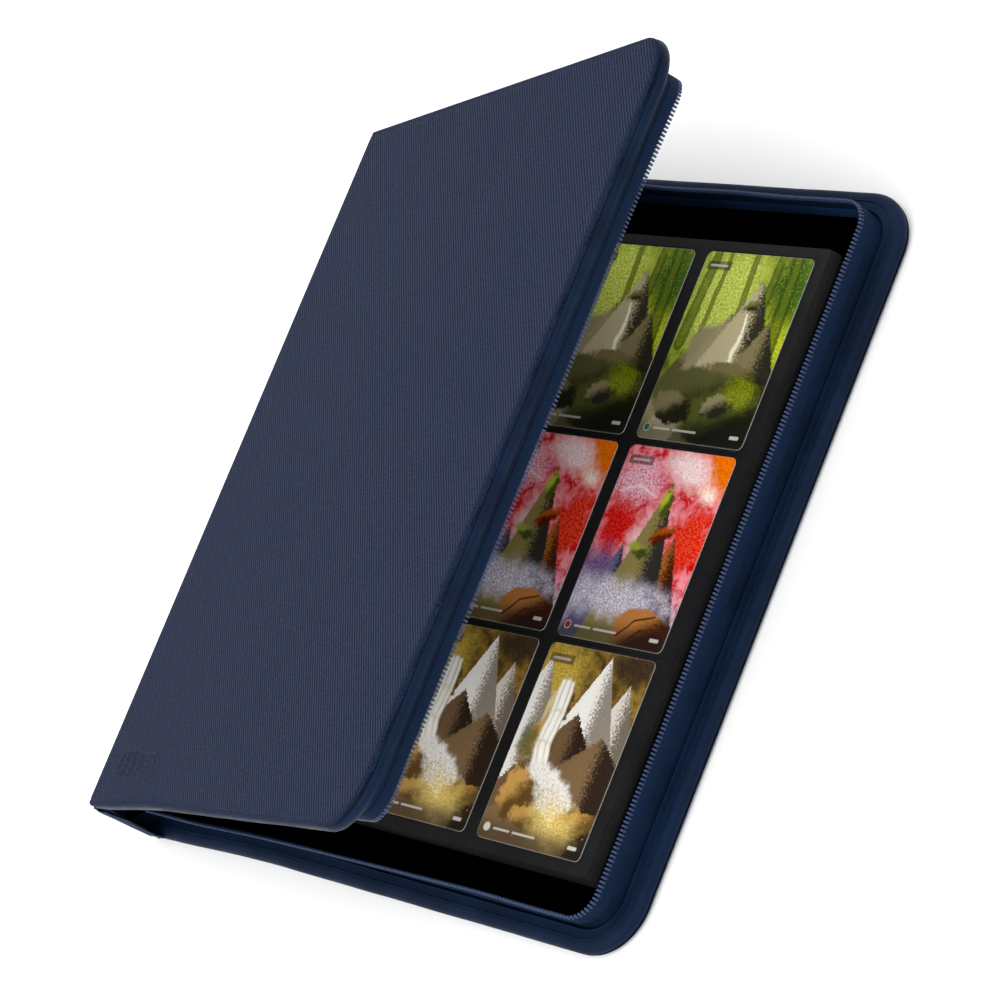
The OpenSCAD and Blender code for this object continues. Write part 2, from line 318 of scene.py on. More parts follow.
def make_blob_group():
    """A soft-edged oval on a card, its outline roughened; lengths are in millimetres."""
    g, i, o = group("Blob", [
        ("Place", "vector", None), ("X", "float", 30.0), ("Y", "float", 40.0),
        ("Wide", "float", 10.0), ("Tall", "float", 10.0), ("Turn", "float", 0.0),
        ("Soft", "float", 0.2), ("Rough", "float", 0.4), ("Grain", "float", 0.12)],
        [("Mask", "float"), ("Lit", "float")])
    centre = put(g, "ShaderNodeCombineXYZ", {0: i.outputs["X"], 1: i.outputs["Y"]})
    away = put(g, "ShaderNodeVectorMath", {0: i.outputs["Place"], 1: centre.outputs[0]},
               operation="SUBTRACT")
    turned = put(g, "ShaderNodeVectorRotate", {"Vector": away.outputs[0],
        "Angle": i.outputs["Turn"]},
                 rotation_type="Z_AXIS")
    p = put(g, "ShaderNodeSeparateXYZ", {0: turned.outputs[0]})
    flat = put(g, "ShaderNodeCombineXYZ", {
        0: calc(g, "DIVIDE", p.outputs[0], i.outputs["Wide"]),
        1: calc(g, "DIVIDE", p.outputs[1], i.outputs["Tall"])})
    reach = put(g, "ShaderNodeVectorMath", {0: flat.outputs[0]}, operation="LENGTH").outputs[1]
    rough = calc(g, "MULTIPLY", calc(g, "SUBTRACT", put(g, "ShaderNodeTexNoise", {
        "Vector": i.outputs["Place"], "Scale": i.outputs["Grain"], "Detail": 5.0,
        "Roughness": 0.62}).outputs[0], 0.5), calc(g, "MULTIPLY", i.outputs["Rough"], 3.0))
    q = calc(g, "ADD", reach, rough)
    g.links.new(ease(g, q, calc(g, "SUBTRACT", 1.0, i.outputs["Soft"]),
                     calc(g, "ADD", 1.0, i.outputs["Soft"]), 1.0, 0.0), o.inputs["Mask"])
    q2 = put(g, "ShaderNodeSeparateXYZ", {0: away.outputs[0]})
    lit = calc(g, "SUBTRACT", calc(g, "DIVIDE", q2.outputs[1], i.outputs["Tall"]),
               calc(g, "DIVIDE", q2.outputs[0], i.outputs["Wide"]))
    g.links.new(ease(g, calc(g, "ADD", lit, rough), -0.9, 1.1), o.inputs["Lit"])


def make_stroke_group():
    """A tapered, wandering stroke on a card from (X1, Y1) to (X2, Y2)."""
    g, i, o = group("Stroke", [
        ("Place", "vector", None), ("X1", "float", 10.0), ("Y1", "float", 10.0),
        ("X2", "float", 20.0), ("Y2", "float", 20.0), ("Start", "float", 1.0),
        ("End", "float", 0.5), ("Wobble", "float", 1.0), ("Soft", "float", 0.25)],
        [("Mask", "float"), ("Core", "float")])
    drift = put(g, "ShaderNodeVectorMath", {0: put(g, "ShaderNodeTexNoise", {
        "Vector": i.outputs["Place"], "Scale": 0.13, "Detail": 4.0}).outputs[1],
        1: (0.5, 0.5, 0.5)}, operation="SUBTRACT").outputs[0]
    moved = put(g, "ShaderNodeVectorMath", {
        0: i.outputs["Place"], 1: put(g, "ShaderNodeVectorMath", {
            0: drift, "Scale": calc(g, "MULTIPLY", i.outputs["Wobble"], 4.0)},
            operation="SCALE").outputs[0]}, operation="ADD")
    plane = put(g, "ShaderNodeVectorMath", {0: moved.outputs[0], 1: (1, 1, 0)},
        operation="MULTIPLY")
    a = put(g, "ShaderNodeCombineXYZ", {0: i.outputs["X1"], 1: i.outputs["Y1"]}).outputs[0]
    b = put(g, "ShaderNodeCombineXYZ", {0: i.outputs["X2"], 1: i.outputs["Y2"]}).outputs[0]
    ab = put(g, "ShaderNodeVectorMath", {0: b, 1: a}, operation="SUBTRACT").outputs[0]
    ap = put(g, "ShaderNodeVectorMath", {0: plane.outputs[0], 1: a},
        operation="SUBTRACT").outputs[0]
    run = calc(g, "DIVIDE",
               put(g, "ShaderNodeVectorMath", {0: ap, 1: ab}, operation="DOT_PRODUCT").outputs[1],
               put(g, "ShaderNodeVectorMath", {0: ab, 1: ab}, operation="DOT_PRODUCT").outputs[1],
               clamp=True)
    foot = put(g, "ShaderNodeVectorMath", {0: ab, "Scale": run}, operation="SCALE").outputs[0]
    off = put(g, "ShaderNodeVectorMath", {0: ap, 1: foot}, operation="DISTANCE").outputs[1]
    width = put(g, "ShaderNodeMapRange", {
        "Value": run, "To Min": i.outputs["Start"], "To Max": i.outputs["End"]}).outputs[0]
    g.links.new(ease(g, off, calc(g, "SUBTRACT", width, i.outputs["Soft"]),
                     calc(g, "ADD", width, i.outputs["Soft"]), 1.0, 0.0), o.inputs["Mask"])
    g.links.new(ease(g, off, 0.0, width, 1.0, 0.0), o.inputs["Core"])


def make_trim_group():
    """The printed frame of a card: a thin pale edge, a title plate, a caption band and a badge."""
    g, i, o = group("Card trim", [
        ("Place", "vector", None), ("Art", "colour", (0.5, 0.5, 0.5, 1)),
        ("Badge", "colour", (0.1, 0.4, 0.2, 1))], [("Colour", "colour")])
    p = put(g, "ShaderNodeSeparateXYZ", {0: i.outputs["Place"]})

    def plate(x, y, half_x, half_y, soft):
        dx = calc(g, "SUBTRACT", calc(g, "ABSOLUTE", calc(g, "SUBTRACT", p.outputs[0], x)), half_x)
        dy = calc(g, "SUBTRACT", calc(g, "ABSOLUTE", calc(g, "SUBTRACT", p.outputs[1], y)), half_y)
        return ease(g, calc(g, "SMOOTH_MAX", dx, dy, 0.8), -soft, soft, 1.0, 0.0)

    band = calc(g, "MULTIPLY", ease(g, p.outputs[1], 3.0, 13.0, 1.0, 0.0), 0.62)
    c = mix(g, band, i.outputs["Art"], (0.01, 0.01, 0.01, 1))
    title = plate(9.5, 81.6, 7.2, 2.0, 0.25)
    c = mix(g, calc(g, "MULTIPLY", title, 0.62), c, (0.012, 0.011, 0.01, 1))
    # plain bars, where a printed card has its words
    for x, y, half_x, half_y, share in ((9.5, 81.6, 5.2, 0.55, 0.7), (13.5, 5.2, 5.0, 0.5, 0.7),
                                        (27.0, 5.2, 7.0, 0.5, 0.7), (56.5, 5.0, 2.6, 0.8, 0.8)):
        c = mix(g, calc(g, "MULTIPLY", plate(x, y, half_x, half_y, 0.2), share), c, (0.72, 0.7,
            0.66, 1))
    ring = put(g, "ShaderNodeVectorMath", {0: i.outputs["Place"], 1: (4.6, 5.2, 0)},
               operation="DISTANCE").outputs[1]
    c = mix(g, ease(g, ring, 1.9, 2.1, 1.0, 0.0), c, (0.55, 0.53, 0.5, 1))
    c = mix(g, ease(g, ring, 1.45, 1.65, 1.0, 0.0), c, i.outputs["Badge"])
    edge_x = calc(g, "SUBTRACT", 31.5, calc(g, "ABSOLUTE", calc(g, "SUBTRACT", p.outputs[0],
        31.5)))
    edge_y = calc(g, "SUBTRACT", 44.0, calc(g, "ABSOLUTE", calc(g, "SUBTRACT", p.outputs[1],
        44.0)))
    rim = ease(g, calc(g, "SMOOTH_MIN", edge_x, edge_y, 3.0), 0.0, 0.65, 1.0, 0.0)
    c = mix(g, calc(g, "MULTIPLY", rim, 0.3), c, (0.4, 0.4, 0.32, 1))
    g.links.new(c, o.inputs["Colour"])


def material(name):
    m = bpy.data.materials.new(name + "_finish")
    m.use_nodes = True
    tree = m.node_tree
    tree.nodes.clear()
    out = tree.nodes.new("ShaderNodeOutputMaterial")
    shader = tree.nodes.new("ShaderNodeBsdfPrincipled")
    tree.links.new(shader.outputs[0], out.inputs[0])
    return m, tree, shader


def finish_shader(tree, shader, base, rough, height=None, strength=0.5, depth=0.0002, **fixed):
    for key, value in (("Base Color", base), ("Roughness", rough)):
        if isinstance(value, bpy.types.NodeSocket):
            tree.links.new(value, shader.inputs[key])
        else:
            shader.inputs[key].default_value = value
    if height is not None:
        bump = put(tree, "ShaderNodeBump", {"Height": height, "Strength": strength,
            "Distance": depth})
        tree.links.new(bump.outputs[0], shader.inputs["Normal"])
    for key, value in fixed.items():
        shader.inputs[key.replace("_", " ")].default_value = value


def flat_place(tree):
    return put(tree, "ShaderNodeAttribute", attribute_name="flat").outputs["Vector"]


def object_place(tree):
    return put(tree, "ShaderNodeTexCoord").outputs["Object"]


def make_ribbed():
    m, t, s = material("ribbed_cover")
    c = colours()
    place = flat_place(t)
    ribs = use(t, "Ribs", Place=place, Pitch=sizes().rib_pitch)
    grain = use(t, "Grain", Place=place, Cell=1300.0)
    rolled = put(t, "ShaderNodeAttribute", attribute_name="rolled").outputs["Fac"]
    # the rib tops take the painted highlight colour, the grooves the darker colour as painted shade
    top = mix(t, ribs.outputs["Top"], c.cover, c.rib_highlight)
    # the rolled edges are smooth navy, painted lighter on their raised grain as a highlight
    grain_highlight = mix(t, ease(t, grain.outputs["Height"], 0.3, 1.2, 0.0, 0.45), c.smooth, c.rib_highlight)
    base = mix(t, rolled, top, grain_highlight)
    base = mix(t, ease(t, ribs.outputs["Mottle"], 0.35, 0.75, 0.0, 0.22), base, c.smooth_light)
    height = put(t, "ShaderNodeMapRange", {
        "Value": rolled, "To Min": ribs.outputs["Height"],
            "To Max": grain.outputs["Height"]}).outputs[0]
    finish_shader(t, s, base, ease(t, ribs.outputs["Top"], 0.0, 1.0, 0.62, 0.46), height, 0.8,
                  0.0003, Specular_IOR_Level=0.02)
    return m


def make_smooth(name="smooth_cover", low=None, high=None, cell=1100.0, strength=0.35):
    m, t, s = material(name)
    place = object_place(t)
    grain = use(t, "Grain", Place=place, Cell=cell)
    base = mix(t, grain.outputs["Tone"], low or colours().smooth, high or colours().smooth_light)
    # darker in the creases of the grain: painted shade
    base = mix(t, calc(t, "MULTIPLY", grain.outputs["Crease"], 0.25), base, (0.004, 0.008, 0.016,
        1))
    finish_shader(t, s, base, ease(t, grain.outputs["Tone"], 0.0, 1.0, 0.5, 0.4),
                  grain.outputs["Height"], strength, 0.00012, Specular_IOR_Level=0.05)
    return m


def make_woven(name, low, high, warp, weft, rough=0.75, strength=0.7):
    m, t, s = material(name)
    weave = use(t, "Weave", Place=flat_place(t), Warp=warp, Weft=weft)
    base = mix(t, weave.outputs["Thread"], low, high)
    base = mix(t, calc(t, "MULTIPLY", weave.outputs["Fuzz"], 0.3), base, high)
    finish_shader(t, s, base, rough, weave.outputs["Height"], strength, 0.0002,
                  Specular_IOR_Level=0.05)
    return m


def make_teeth():
    m, t, s = material("zip_teeth")
    c = colours()
    place = flat_place(t)
    p = put(t, "ShaderNodeSeparateXYZ", {0: place})
    speck = use(t, "Speckle", Place=object_place(t), Scale=1400.0, Share=0.4)
    # the teeth are painted lighter towards their tips: a painted highlight
    tip = ease(t, p.outputs[2], (TEETH_HIGH.z - 3.2) / 1000, (TEETH_HIGH.z - 0.4) / 1000)
    base = mix(t, tip, c.tooth, c.tooth_highlight_and_speck)
    base = mix(t, calc(t, "MULTIPLY", speck.outputs["Specks"], 0.3), base, c.tooth_highlight_and_speck)
    finish_shader(t, s, base, ease(t, speck.outputs["Drift"], 0.3, 0.7, 0.3, 0.42),
                  speck.outputs["Height"], 0.2, 0.00005, Specular_IOR_Level=0.15)
    return m


def make_metal():
    m, t, s = material("zip_metal")
    c = colours()
    place = object_place(t)
    speck = use(t, "Speckle", Place=place, Scale=2200.0, Share=0.5)
    scuff = ease(t, cloud(t, place, 420.0, 5.0, 0.7), 0.6, 0.74)
    base = mix(t, scuff, c.metal, (0.32, 0.33, 0.35, 1))
    base = mix(t, calc(t, "MULTIPLY", speck.outputs["Specks"], 0.2), base, c.tooth_highlight_and_speck)
    t.links.new(ease(t, scuff, 0.2, 1.0), s.inputs["Metallic"])
    finish_shader(t, s, base, ease(t, speck.outputs["Drift"], 0.3, 0.7, 0.28, 0.4),
                  speck.outputs["Height"], 0.25, 0.00004, Coat_Weight=0.25, Coat_Roughness=0.15)
    return m


def make_lining():
    m, t, s = material("lining")
    c = colours()
    weave = use(t, "Weave", Place=flat_place(t), Warp=0.0007, Weft=0.0007)
    drift = cloud(t, object_place(t), 22.0, 4.0, 0.6)
    base = mix(t, calc(t, "MULTIPLY", weave.outputs["Thread"], 0.5), (0.0002, 0.0002, 0.0002, 1),
        c.lining)
    base = mix(t, ease(t, drift, 0.4, 0.8, 0.0, 0.5), base, c.lining)
    finish_shader(t, s, base, 0.9, weave.outputs["Height"], 0.4, 0.00015, Specular_IOR_Level=0.0)
    return m


def make_page():
    m, t, s = material("page_film")
    c = colours()
    speck = use(t, "Speckle", Place=object_place(t), Scale=1050.0, Share=0.55)
    base = mix(t, ease(t, speck.outputs["Drift"], 0.3, 0.75), c.page, (0.016, 0.016, 0.017, 1))
    base = mix(t, calc(t, "MULTIPLY", speck.outputs["Specks"], 0.4), base, c.page_speck)
    finish_shader(t, s, base, ease(t, speck.outputs["Drift"], 0.3, 0.75, 0.5, 0.62),
                  speck.outputs["Height"], 0.25, 0.0001, Specular_IOR_Level=0.12)
    return m


def make_board():
    m, t, s = material("board")
    place = object_place(t)
    fibre = cloud(t, put(t, "ShaderNodeMapping", {"Vector": place, "Scale": (900, 160,
        900)}).outputs[0],
                  1.0, 5.0, 0.65)
    speck = use(t, "Speckle", Place=place, Scale=700.0, Share=0.25)
    base = mix(t, ease(t, fibre, 0.3, 0.7), colours().board, (0.34, 0.28, 0.2, 1))
    base = mix(t, calc(t, "MULTIPLY", speck.outputs["Specks"], 0.4), base, (0.12, 0.09, 0.06, 1))
    finish_shader(t, s, base, 0.9, fibre, 0.4, 0.0002)
    return m


def make_clear():
    m, t, s = material("clear_film")
    place = object_place(t)
    haze = ease(t, cloud(t, place, 30.0, 4.0, 0.6), 0.3, 0.75, 0.0, 0.006)
    speck = use(t, "Speckle", Place=place, Scale=500.0, Share=0.06)
    t.links.new(calc(t, "ADD", haze, calc(t, "MULTIPLY", speck.outputs["Specks"], 0.03)),
                s.inputs["Alpha"])
    finish_shader(t, s, (0.75, 0.78, 0.8, 1), ease(t, speck.outputs["Drift"], 0.3, 0.7, 0.12,
        0.22),
                  speck.outputs["Drift"], 0.2, 0.0004)
    return m


# ---- card pictures ----


class Canvas:
    """Paints layers over one another on a card, in millimetres from its tail-left corner."""

    def __init__(self, name, start):
        self.m, self.t, self.s = material(name)
        uv = put(self.t, "ShaderNodeUVMap", uv_map="art").outputs[0]
        self.place = put(self.t, "ShaderNodeVectorMath", {0: uv, 1: (63, 88, 0)},
                         operation="MULTIPLY").outputs[0]
        self.fine = cloud(self.t, self.place, 0.9, 6.0, 0.7, 0.3)
        self.broad = cloud(self.t, self.place, 0.16, 6.0, 0.62, 0.6)
        self.xyz = put(self.t, "ShaderNodeSeparateXYZ", {0: self.place})
        self.colour = start

    def tone(self, dark, light, by=None, low=0.35, high=0.65):
        return mix(self.t, ease(self.t, by or self.fine, low, high), dark, light)

    def over(self, mask, top, share=1.0):
        if share != 1.0:
            mask = calc(self.t, "MULTIPLY", mask, share)
        self.colour = mix(self.t, mask, self.colour, top)

    def blob(self, x, y, wide, tall, dark, light, turn=0.0, soft=0.15, rough=0.35, grain=0.14,
             share=1.0, lit=True):
        n = use(self.t, "Blob", Place=self.place, X=x, Y=y, Wide=wide, Tall=tall, Turn=turn,
                Soft=soft, Rough=rough, Grain=grain)
        if lit:
            shade = calc(self.t, "MULTIPLY_ADD", self.fine, 0.9, calc(
                self.t, "SUBTRACT", n.outputs["Lit"], 0.45))
            top = mix(self.t, ease(self.t, shade, 0.15, 0.95), dark, light)
        else:
            top = self.tone(dark, light)
        self.over(n.outputs["Mask"], top, share)

    def stroke(self, points, start, end, dark, light, wobble=0.6, soft=0.25, share=1.0):
        count = len(points) - 1
        for k, (a, b) in enumerate(zip(points, points[1:])):
            w1 = start + (end - start) * k / count
            w2 = start + (end - start) * (k + 1) / count
            n = use(self.t, "Stroke", Place=self.place, X1=a[0], Y1=a[1], X2=b[0], Y2=b[1],
                    Start=w1, End=w2, Wobble=wobble, Soft=soft)
            top = mix(self.t, ease(self.t, n.outputs["Core"], 0.0, 0.8), dark, light)
            self.over(n.outputs["Mask"], top, share)

    def peak(self, x, top, slope, dark, light, ragged=5.0):
        """A mountain lit from one side, its summit at (x, top)."""
        t = self.t
        away = calc(t, "SUBTRACT", self.xyz.outputs[0], x)
        rough = calc(t, "MULTIPLY", calc(t, "SUBTRACT", self.fine, 0.5), ragged)
        ridge = calc(t, "SUBTRACT", top, calc(t, "MULTIPLY", calc(t, "ABSOLUTE", away), slope))
        mask = ease(t, calc(t, "ADD", calc(t, "SUBTRACT", ridge, self.xyz.outputs[1]), rough),
            -0.3, 0.3)
        side = calc(t, "ADD", away, calc(t, "MULTIPLY", calc(t, "SUBTRACT", self.fine, 0.5), 26.0))
        self.over(mask, mix(t, ease(t, side, -2.0, 4.0), light, dark))

    def done(self, badge):
        vivid = put(self.t, "ShaderNodeHueSaturation", {
            "Color": self.colour, "Saturation": 1.08, "Value": 1.3}).outputs[0]
        trim = use(self.t, "Card trim", Place=self.place, Art=vivid, Badge=badge)
        finish_shader(self.t, self.s, trim.outputs[0], ease(self.t, self.broad, 0.3, 0.7, 0.3,
            0.4),
                      self.fine, 0.06, 0.00005, Specular_IOR_Level=0.12)
        return self.m


def make_forest_card():
    c = Canvas("card_forest", colour("47591c"))
    t = c.t
    c.colour = mix(t, ease(t, c.broad, 0.3, 0.7), colour("37491a"), colour("8d9c34"))
    c.blob(20, 66, 22, 26, colour("8fa23a"), colour("d6dc7c"), soft=0.6, rough=0.4, lit=False)
    c.blob(54, 44, 12, 22, colour("7f8f22"), colour("c8cc4c"), soft=0.5, rough=0.5, lit=False)
    c.blob(57, 74, 12, 16, colour("2c4016"), colour("4c6a22"), soft=0.5, rough=0.5, lit=False)
    for x1, x2, w in ((7, 4, 2.6), (15, 13, 1.2), (30, 32, 1.6), (45, 43, 2.2), (54, 56, 3.2)):
        c.stroke([(x1, 90), (x2, 44)], w, w * 1.2, colour("2b3812"), colour("55651f"), 0.5, 0.6,
            0.8)
    leaves = put(t, "ShaderNodeTexVoronoi", {"Vector": c.place, "Scale": 0.7, "Randomness": 1.0})
    c.over(ease(t, leaves.outputs["Distance"], 0.18, 0.32, 1.0, 0.0),
           c.tone(colour("5f7d1f"), colour("c5cf58"), c.broad), 0.35)
    stone_d, stone_l = colour("2b2a1c"), colour("8d8466")
    c.blob(12, 31, 8, 11, colour("1c1a10"), colour("5c5236"), 0.5, rough=0.3)
    c.blob(22, 41, 12, 14, stone_d, stone_l, -0.5, rough=0.28, grain=0.2)
    c.peak(28, 60, 1.5, stone_d, colour("948a6c"), 16.0)
    c.peak(39, 77, 2.0, colour("2d2b1f"), colour("b3a888"), 18.0)
    c.peak(51, 58, 1.8, colour("25231a"), colour("7d7353"), 16.0)
    c.blob(38, 64, 5, 2.2, colour("23250f"), colour("6d6a3a"), -0.25, 0.4, 0.8, 0.35)
    c.stroke([(37, 60), (37.8, 50), (36.4, 36)], 0.9, 2.2, colour("b6b190"), colour("fffbe6"),
             1.2, 0.6, 0.7)
    c.blob(44, 31, 20, 6.5, colour("211d12"), colour("6f6646"), 0.16, 0.1, 0.3, 0.2)
    c.blob(28, 22, 30, 12, colour("191a0c"), colour("565634"), 0.1, 0.12, 0.3, 0.12)
    c.blob(46, 12, 26, 14, colour("16180b"), colour("4b5226"), 0.0, 0.15, 0.3, 0.14)
    c.blob(14, 15, 12, 7, colour("1f1e12"), colour("7a7153"), 0.3, 0.12, 0.4, 0.3)
    c.blob(40, 18, 9, 5.5, colour("25241a"), colour("8b8263"), -0.2, 0.12, 0.4, 0.32)
    c.blob(50, 25, 9, 7, colour("5b6a14"), colour("a9b03a"), 0.4, 0.5, 0.5, 0.2, 0.6, lit=False)
    return c.done(colour("2f6b4a"))


def make_storm_card():
    c = Canvas("card_storm", colour("c23a3a"))
    t = c.t
    y = c.xyz.outputs[1]
    sky = mix(t, ease(t, c.broad, 0.36, 0.62), colour("c4262c"), colour("ef9aa2"))
    low = mix(t, ease(t, c.broad, 0.35, 0.6), colour("4b4468"), colour("b9a9c4"))
    c.colour = mix(t, ease(t, calc(t, "ADD", y, calc(t, "MULTIPLY", c.xyz.outputs[0], 0.25)),
                           20.0, 48.0), low, sky)
    c.blob(56, 82, 14, 12, colour("d9581f"), colour("f08a3c"), soft=0.6, rough=0.5, lit=False)
    c.blob(40, 80, 14, 7, colour("f0b9bd"), colour("fff4f2"), 0.3, 0.6, 0.6, 0.12, lit=False)
    c.blob(12, 72, 13, 10, colour("d05a7e"), colour("fbdfe6"), 0.2, 0.6, 0.7, 0.12, lit=False)
    c.blob(10, 52, 10, 11, colour("b81f2a"), colour("e8564e"), 0.0, 0.5, 0.6, 0.15, lit=False)
    c.blob(54, 50, 12, 14, colour("c02a2c"), colour("f26a58"), 0.4, 0.5, 0.6, 0.12, lit=False)
    c.blob(30, 46, 9, 12, colour("f4c4cc"), colour("fff6f6"), 0.2, 0.7, 0.6, 0.14, 0.8, lit=False)
    c.blob(10, 30, 12, 10, colour("493f68"), colour("8b6f9a"), 0.3, 0.6, 0.6, 0.14, lit=False)
    c.blob(34, 16, 22, 9, colour("c2bccb"), colour("f3eff4"), 0.1, 0.7, 0.6, 0.12, 0.9, lit=False)
    c.stroke([(4, 66), (14, 70), (26, 66)], 0.6, 0.3, colour("f6d6da"), colour("ffffff"), 1.4,
        1.0, 0.7)
    c.stroke([(40, 38), (30, 24), (20, 18)], 1.6, 0.8, colour("d8545a"), colour("f2a2a2"), 1.6,
        1.6, 0.7)
    rock_d, rock_l = colour("2b2a26"), colour("8a7d4e")
    c.peak(18, 44, 2.4, colour("1f1e24"), colour("6a6480"), 16.0)
    c.peak(46, 50, 2.3, colour("3a1c12"), colour("a8663c"), 16.0)
    c.peak(33, 74, 3.3, rock_d, rock_l, 18.0)
    c.blob(33.5, 64, 3.0, 6.0, colour("48521a"), colour("b4bd4c"), -0.1, 0.3, 0.7, 0.35)
    c.blob(38, 50, 7.0, 3.0, colour("4f1a0c"), colour("b4582c"), -0.5, 0.3, 0.6, 0.35)
    c.blob(28, 42, 7.0, 2.5, colour("3f4a1e"), colour("98a04a"), 0.4, 0.3, 0.7, 0.35)
    c.blob(24, 20, 30, 8, colour("9a8fb0"), colour("f3eff4"), 0.05, 0.7, 0.7, 0.14, 0.85,
        lit=False)
    c.blob(55, 70, 4.5, 3.2, colour("f7c69a"), colour("ffffff"), 0.3, 0.8, 0.5, 0.3, lit=False)
    c.blob(46, 7, 16, 10.5, colour("3b1c10"), colour("b27a4c"), 0.15, 0.06, 0.14, 0.1)
    c.stroke([(34, 4), (42, 12), (52, 15)], 0.5, 0.4, colour("1d0f09"), colour("5b3320"), 0.4)
    c.stroke([(38, 0), (46, 8), (58, 10)], 0.5, 0.4, colour("1d0f09"), colour("5b3320"), 0.4)
    return c.done(colour("9c2f2b"))


def make_mountain_card():
    c = Canvas("card_mountain", colour("7a6233"))
    t = c.t
    c.colour = mix(t, ease(t, c.broad, 0.32, 0.7), colour("4a3a1e"), colour("94783e"))
    c.blob(10, 74, 14, 14, colour("a88a3e"), colour("d9bd68"), soft=0.7, rough=0.6, lit=False)
    c.blob(54, 84, 16, 8, colour("2c2218"), colour("4a3826"), soft=0.5, rough=0.5, lit=False)
    c.blob(20, 22, 26, 20, colour("a58a52"), colour("e2cf95"), 0.2, 0.6, 0.5, 0.12, lit=False)
    dark_d, dark_l = colour("2b2018"), colour("6e5740")
    snow_d, snow_l = colour("8d8379"), colour("f4f0ea")
    c.peak(4, 82, 2.3, snow_d, snow_l)
    c.peak(54, 76, 2.0, colour("6d6258"), colour("d6cec4"))
    c.peak(38, 86, 2.1, snow_d, snow_l)
    c.peak(31, 60, 1.1, dark_d, dark_l, 9.0)
    c.peak(50, 52, 0.8, dark_d, colour("7a6248"), 9.0)
    rock_d = colour("5a4426")
    c.blob(18, 60, 7.0, 13, rock_d, colour("d8c496"), 0.1, 0.1, 0.35, 0.25)
    c.blob(15, 42, 9.0, 12, colour("5f4728"), colour("caa266"), -0.1, 0.1, 0.35, 0.25)
    c.blob(14, 22, 10.0, 12, rock_d, colour("c49a5e"), 0.2, 0.12, 0.4, 0.22)
    for x, w in ((15.5, 1.3), (18.5, 1.9), (21.5, 1.1)):
        c.stroke([(x, 72), (x + 0.6, 58), (x - 0.8, 44), (x + 2.5, 33)], w, w * 1.5,
                 colour("d9d0bc"), colour("fffdf6"), 0.5, 0.8)
    c.blob(30, 29, 17, 5.5, colour("cfc6b4"), colour("ffffff"), 0.45, 0.35, 0.5, 0.2, lit=False)
    c.blob(36, 20, 13, 6.5, colour("b9ae9a"), colour("f6f1e6"), 0.6, 0.4, 0.6, 0.2, 0.9, lit=False)
    c.blob(24, 12, 10, 5, rock_d, colour("b08c54"), 0.2, 0.15, 0.5, 0.3)
    c.blob(52, 14, 12, 6, rock_d, colour("a5804a"), -0.2, 0.15, 0.5, 0.3)
    c.blob(40, 12, 13, 8, colour("c9a84e"), colour("f2e09a"), 0.2, 0.7, 0.5, 0.15, 0.7, lit=False)
    c.blob(8, 44, 5, 8, colour("2f3a22"), colour("5a6238"), 0.0, 0.5, 0.6, 0.3, 0.8, lit=False)
    glints = put(t, "ShaderNodeTexVoronoi", {"Vector": c.place, "Scale": 0.28})
    c.over(ease(t, glints.outputs["Distance"], 0.03, 0.09, 1.0, 0.0), colour("ffdca0"), 0.8)
    return c.done(colour("d8d2c4"))


def make_card_back():
    m, t, s = material("card_back")
    uv = put(t, "ShaderNodeUVMap", uv_map="art").outputs[0]
    place = put(t, "ShaderNodeVectorMath", {0: uv, 1: (63, 88, 0)},
        operation="MULTIPLY").outputs[0]
    rings = put(t, "ShaderNodeTexWave", {"Vector": place, "Scale": 0.25, "Distortion": 6.0,
                                         "Detail": 2.0, "Detail Scale": 0.4}, wave_type="RINGS")
    base = mix(t, rings.outputs["Fac"], colour("3c2a1c"), colour("6d5236"))
    trim = use(t, "Card trim", Place=place, Art=base, Badge=colour("6d5236"))
    finish_shader(t, s, mix(t, 0.6, trim.outputs[0], base), 0.4,
                  cloud(t, place, 2.0, 3.0), 0.05, 0.00004)
    return m


def make_card_edge():
    m, t, s = material("card_stock")
    fibre = cloud(t, object_place(t), 2600.0, 3.0, 0.6)
    finish_shader(t, s, mix(t, fibre, (0.5, 0.49, 0.46, 1), (0.72, 0.7, 0.66, 1)), 0.75, fibre,
        0.3,
                  0.00004)
    return m


def finish_of(name):
    makers = {
        "ribbed_cover": make_ribbed, "smooth_cover": make_smooth, "zip_teeth": make_teeth,
        "zip_metal": make_metal, "lining": make_lining, "page_film": make_page,
        "board": make_board, "clear_film": make_clear, "card_stock": make_card_edge,
        "card_back": make_card_back, "card_forest": make_forest_card,
        "card_storm": make_storm_card, "card_mountain": make_mountain_card,
        # the inner faces of the zip walls: a much lighter copy of the navy fabric, painted light where the inside
        # lies in shade
        "wall_inside_painted_light": lambda: make_smooth("wall_inside_painted_light", colour("1f3a5e"), colour("2b4a74"),
            1100.0),
        "zip_tape": lambda: make_woven("zip_tape", colour("0b1a30"), colours().tape, 0.0009,
            0.0005),
        "end_tab": lambda: make_woven("end_tab", colour("1c2842"), colours().tab, 0.0011, 0.0008),
        "thread": lambda: make_woven("thread", colour("161e30"), colour("343f58"), 0.0004, 0.0004),
        "emboss": lambda: make_smooth("emboss", colour("0a0e18"), colour("10151f"), 1500.0, 0.2),
    }
    return bpy.data.materials.get(name + "_finish") or makers[name]()


# ---- mesh helpers ----


def only(kind, geometry, boundary=False):
    return [g for g in geometry if isinstance(g, kind) and not (boundary and not g.is_boundary)]


def extrude_run(bm, geometry, step, count):
    """Pulls an open or closed section along in equal steps; returns the last section."""
    for _ in range(count):
        out = bmesh.ops.extrude_edge_only(bm, edges=only(BMEdge, geometry))["geom"]
        geometry = only(BMVert, out) + only(BMEdge, out, True)
        bmesh.ops.translate(bm, vec=step, verts=only(BMVert, geometry))
    return geometry


def quarter_turn(bm, geometry, centre, steps):
    out = bmesh.ops.spin(bm, geom=geometry, cent=centre, axis=(0, 0, 1), dvec=(0, 0, 0),
                         angle=math.pi / 2, steps=steps, use_merge=False,
                         use_normal_flip=False, use_duplicate=False)["geom_last"]
    return only(BMVert, out) + only(BMEdge, out)


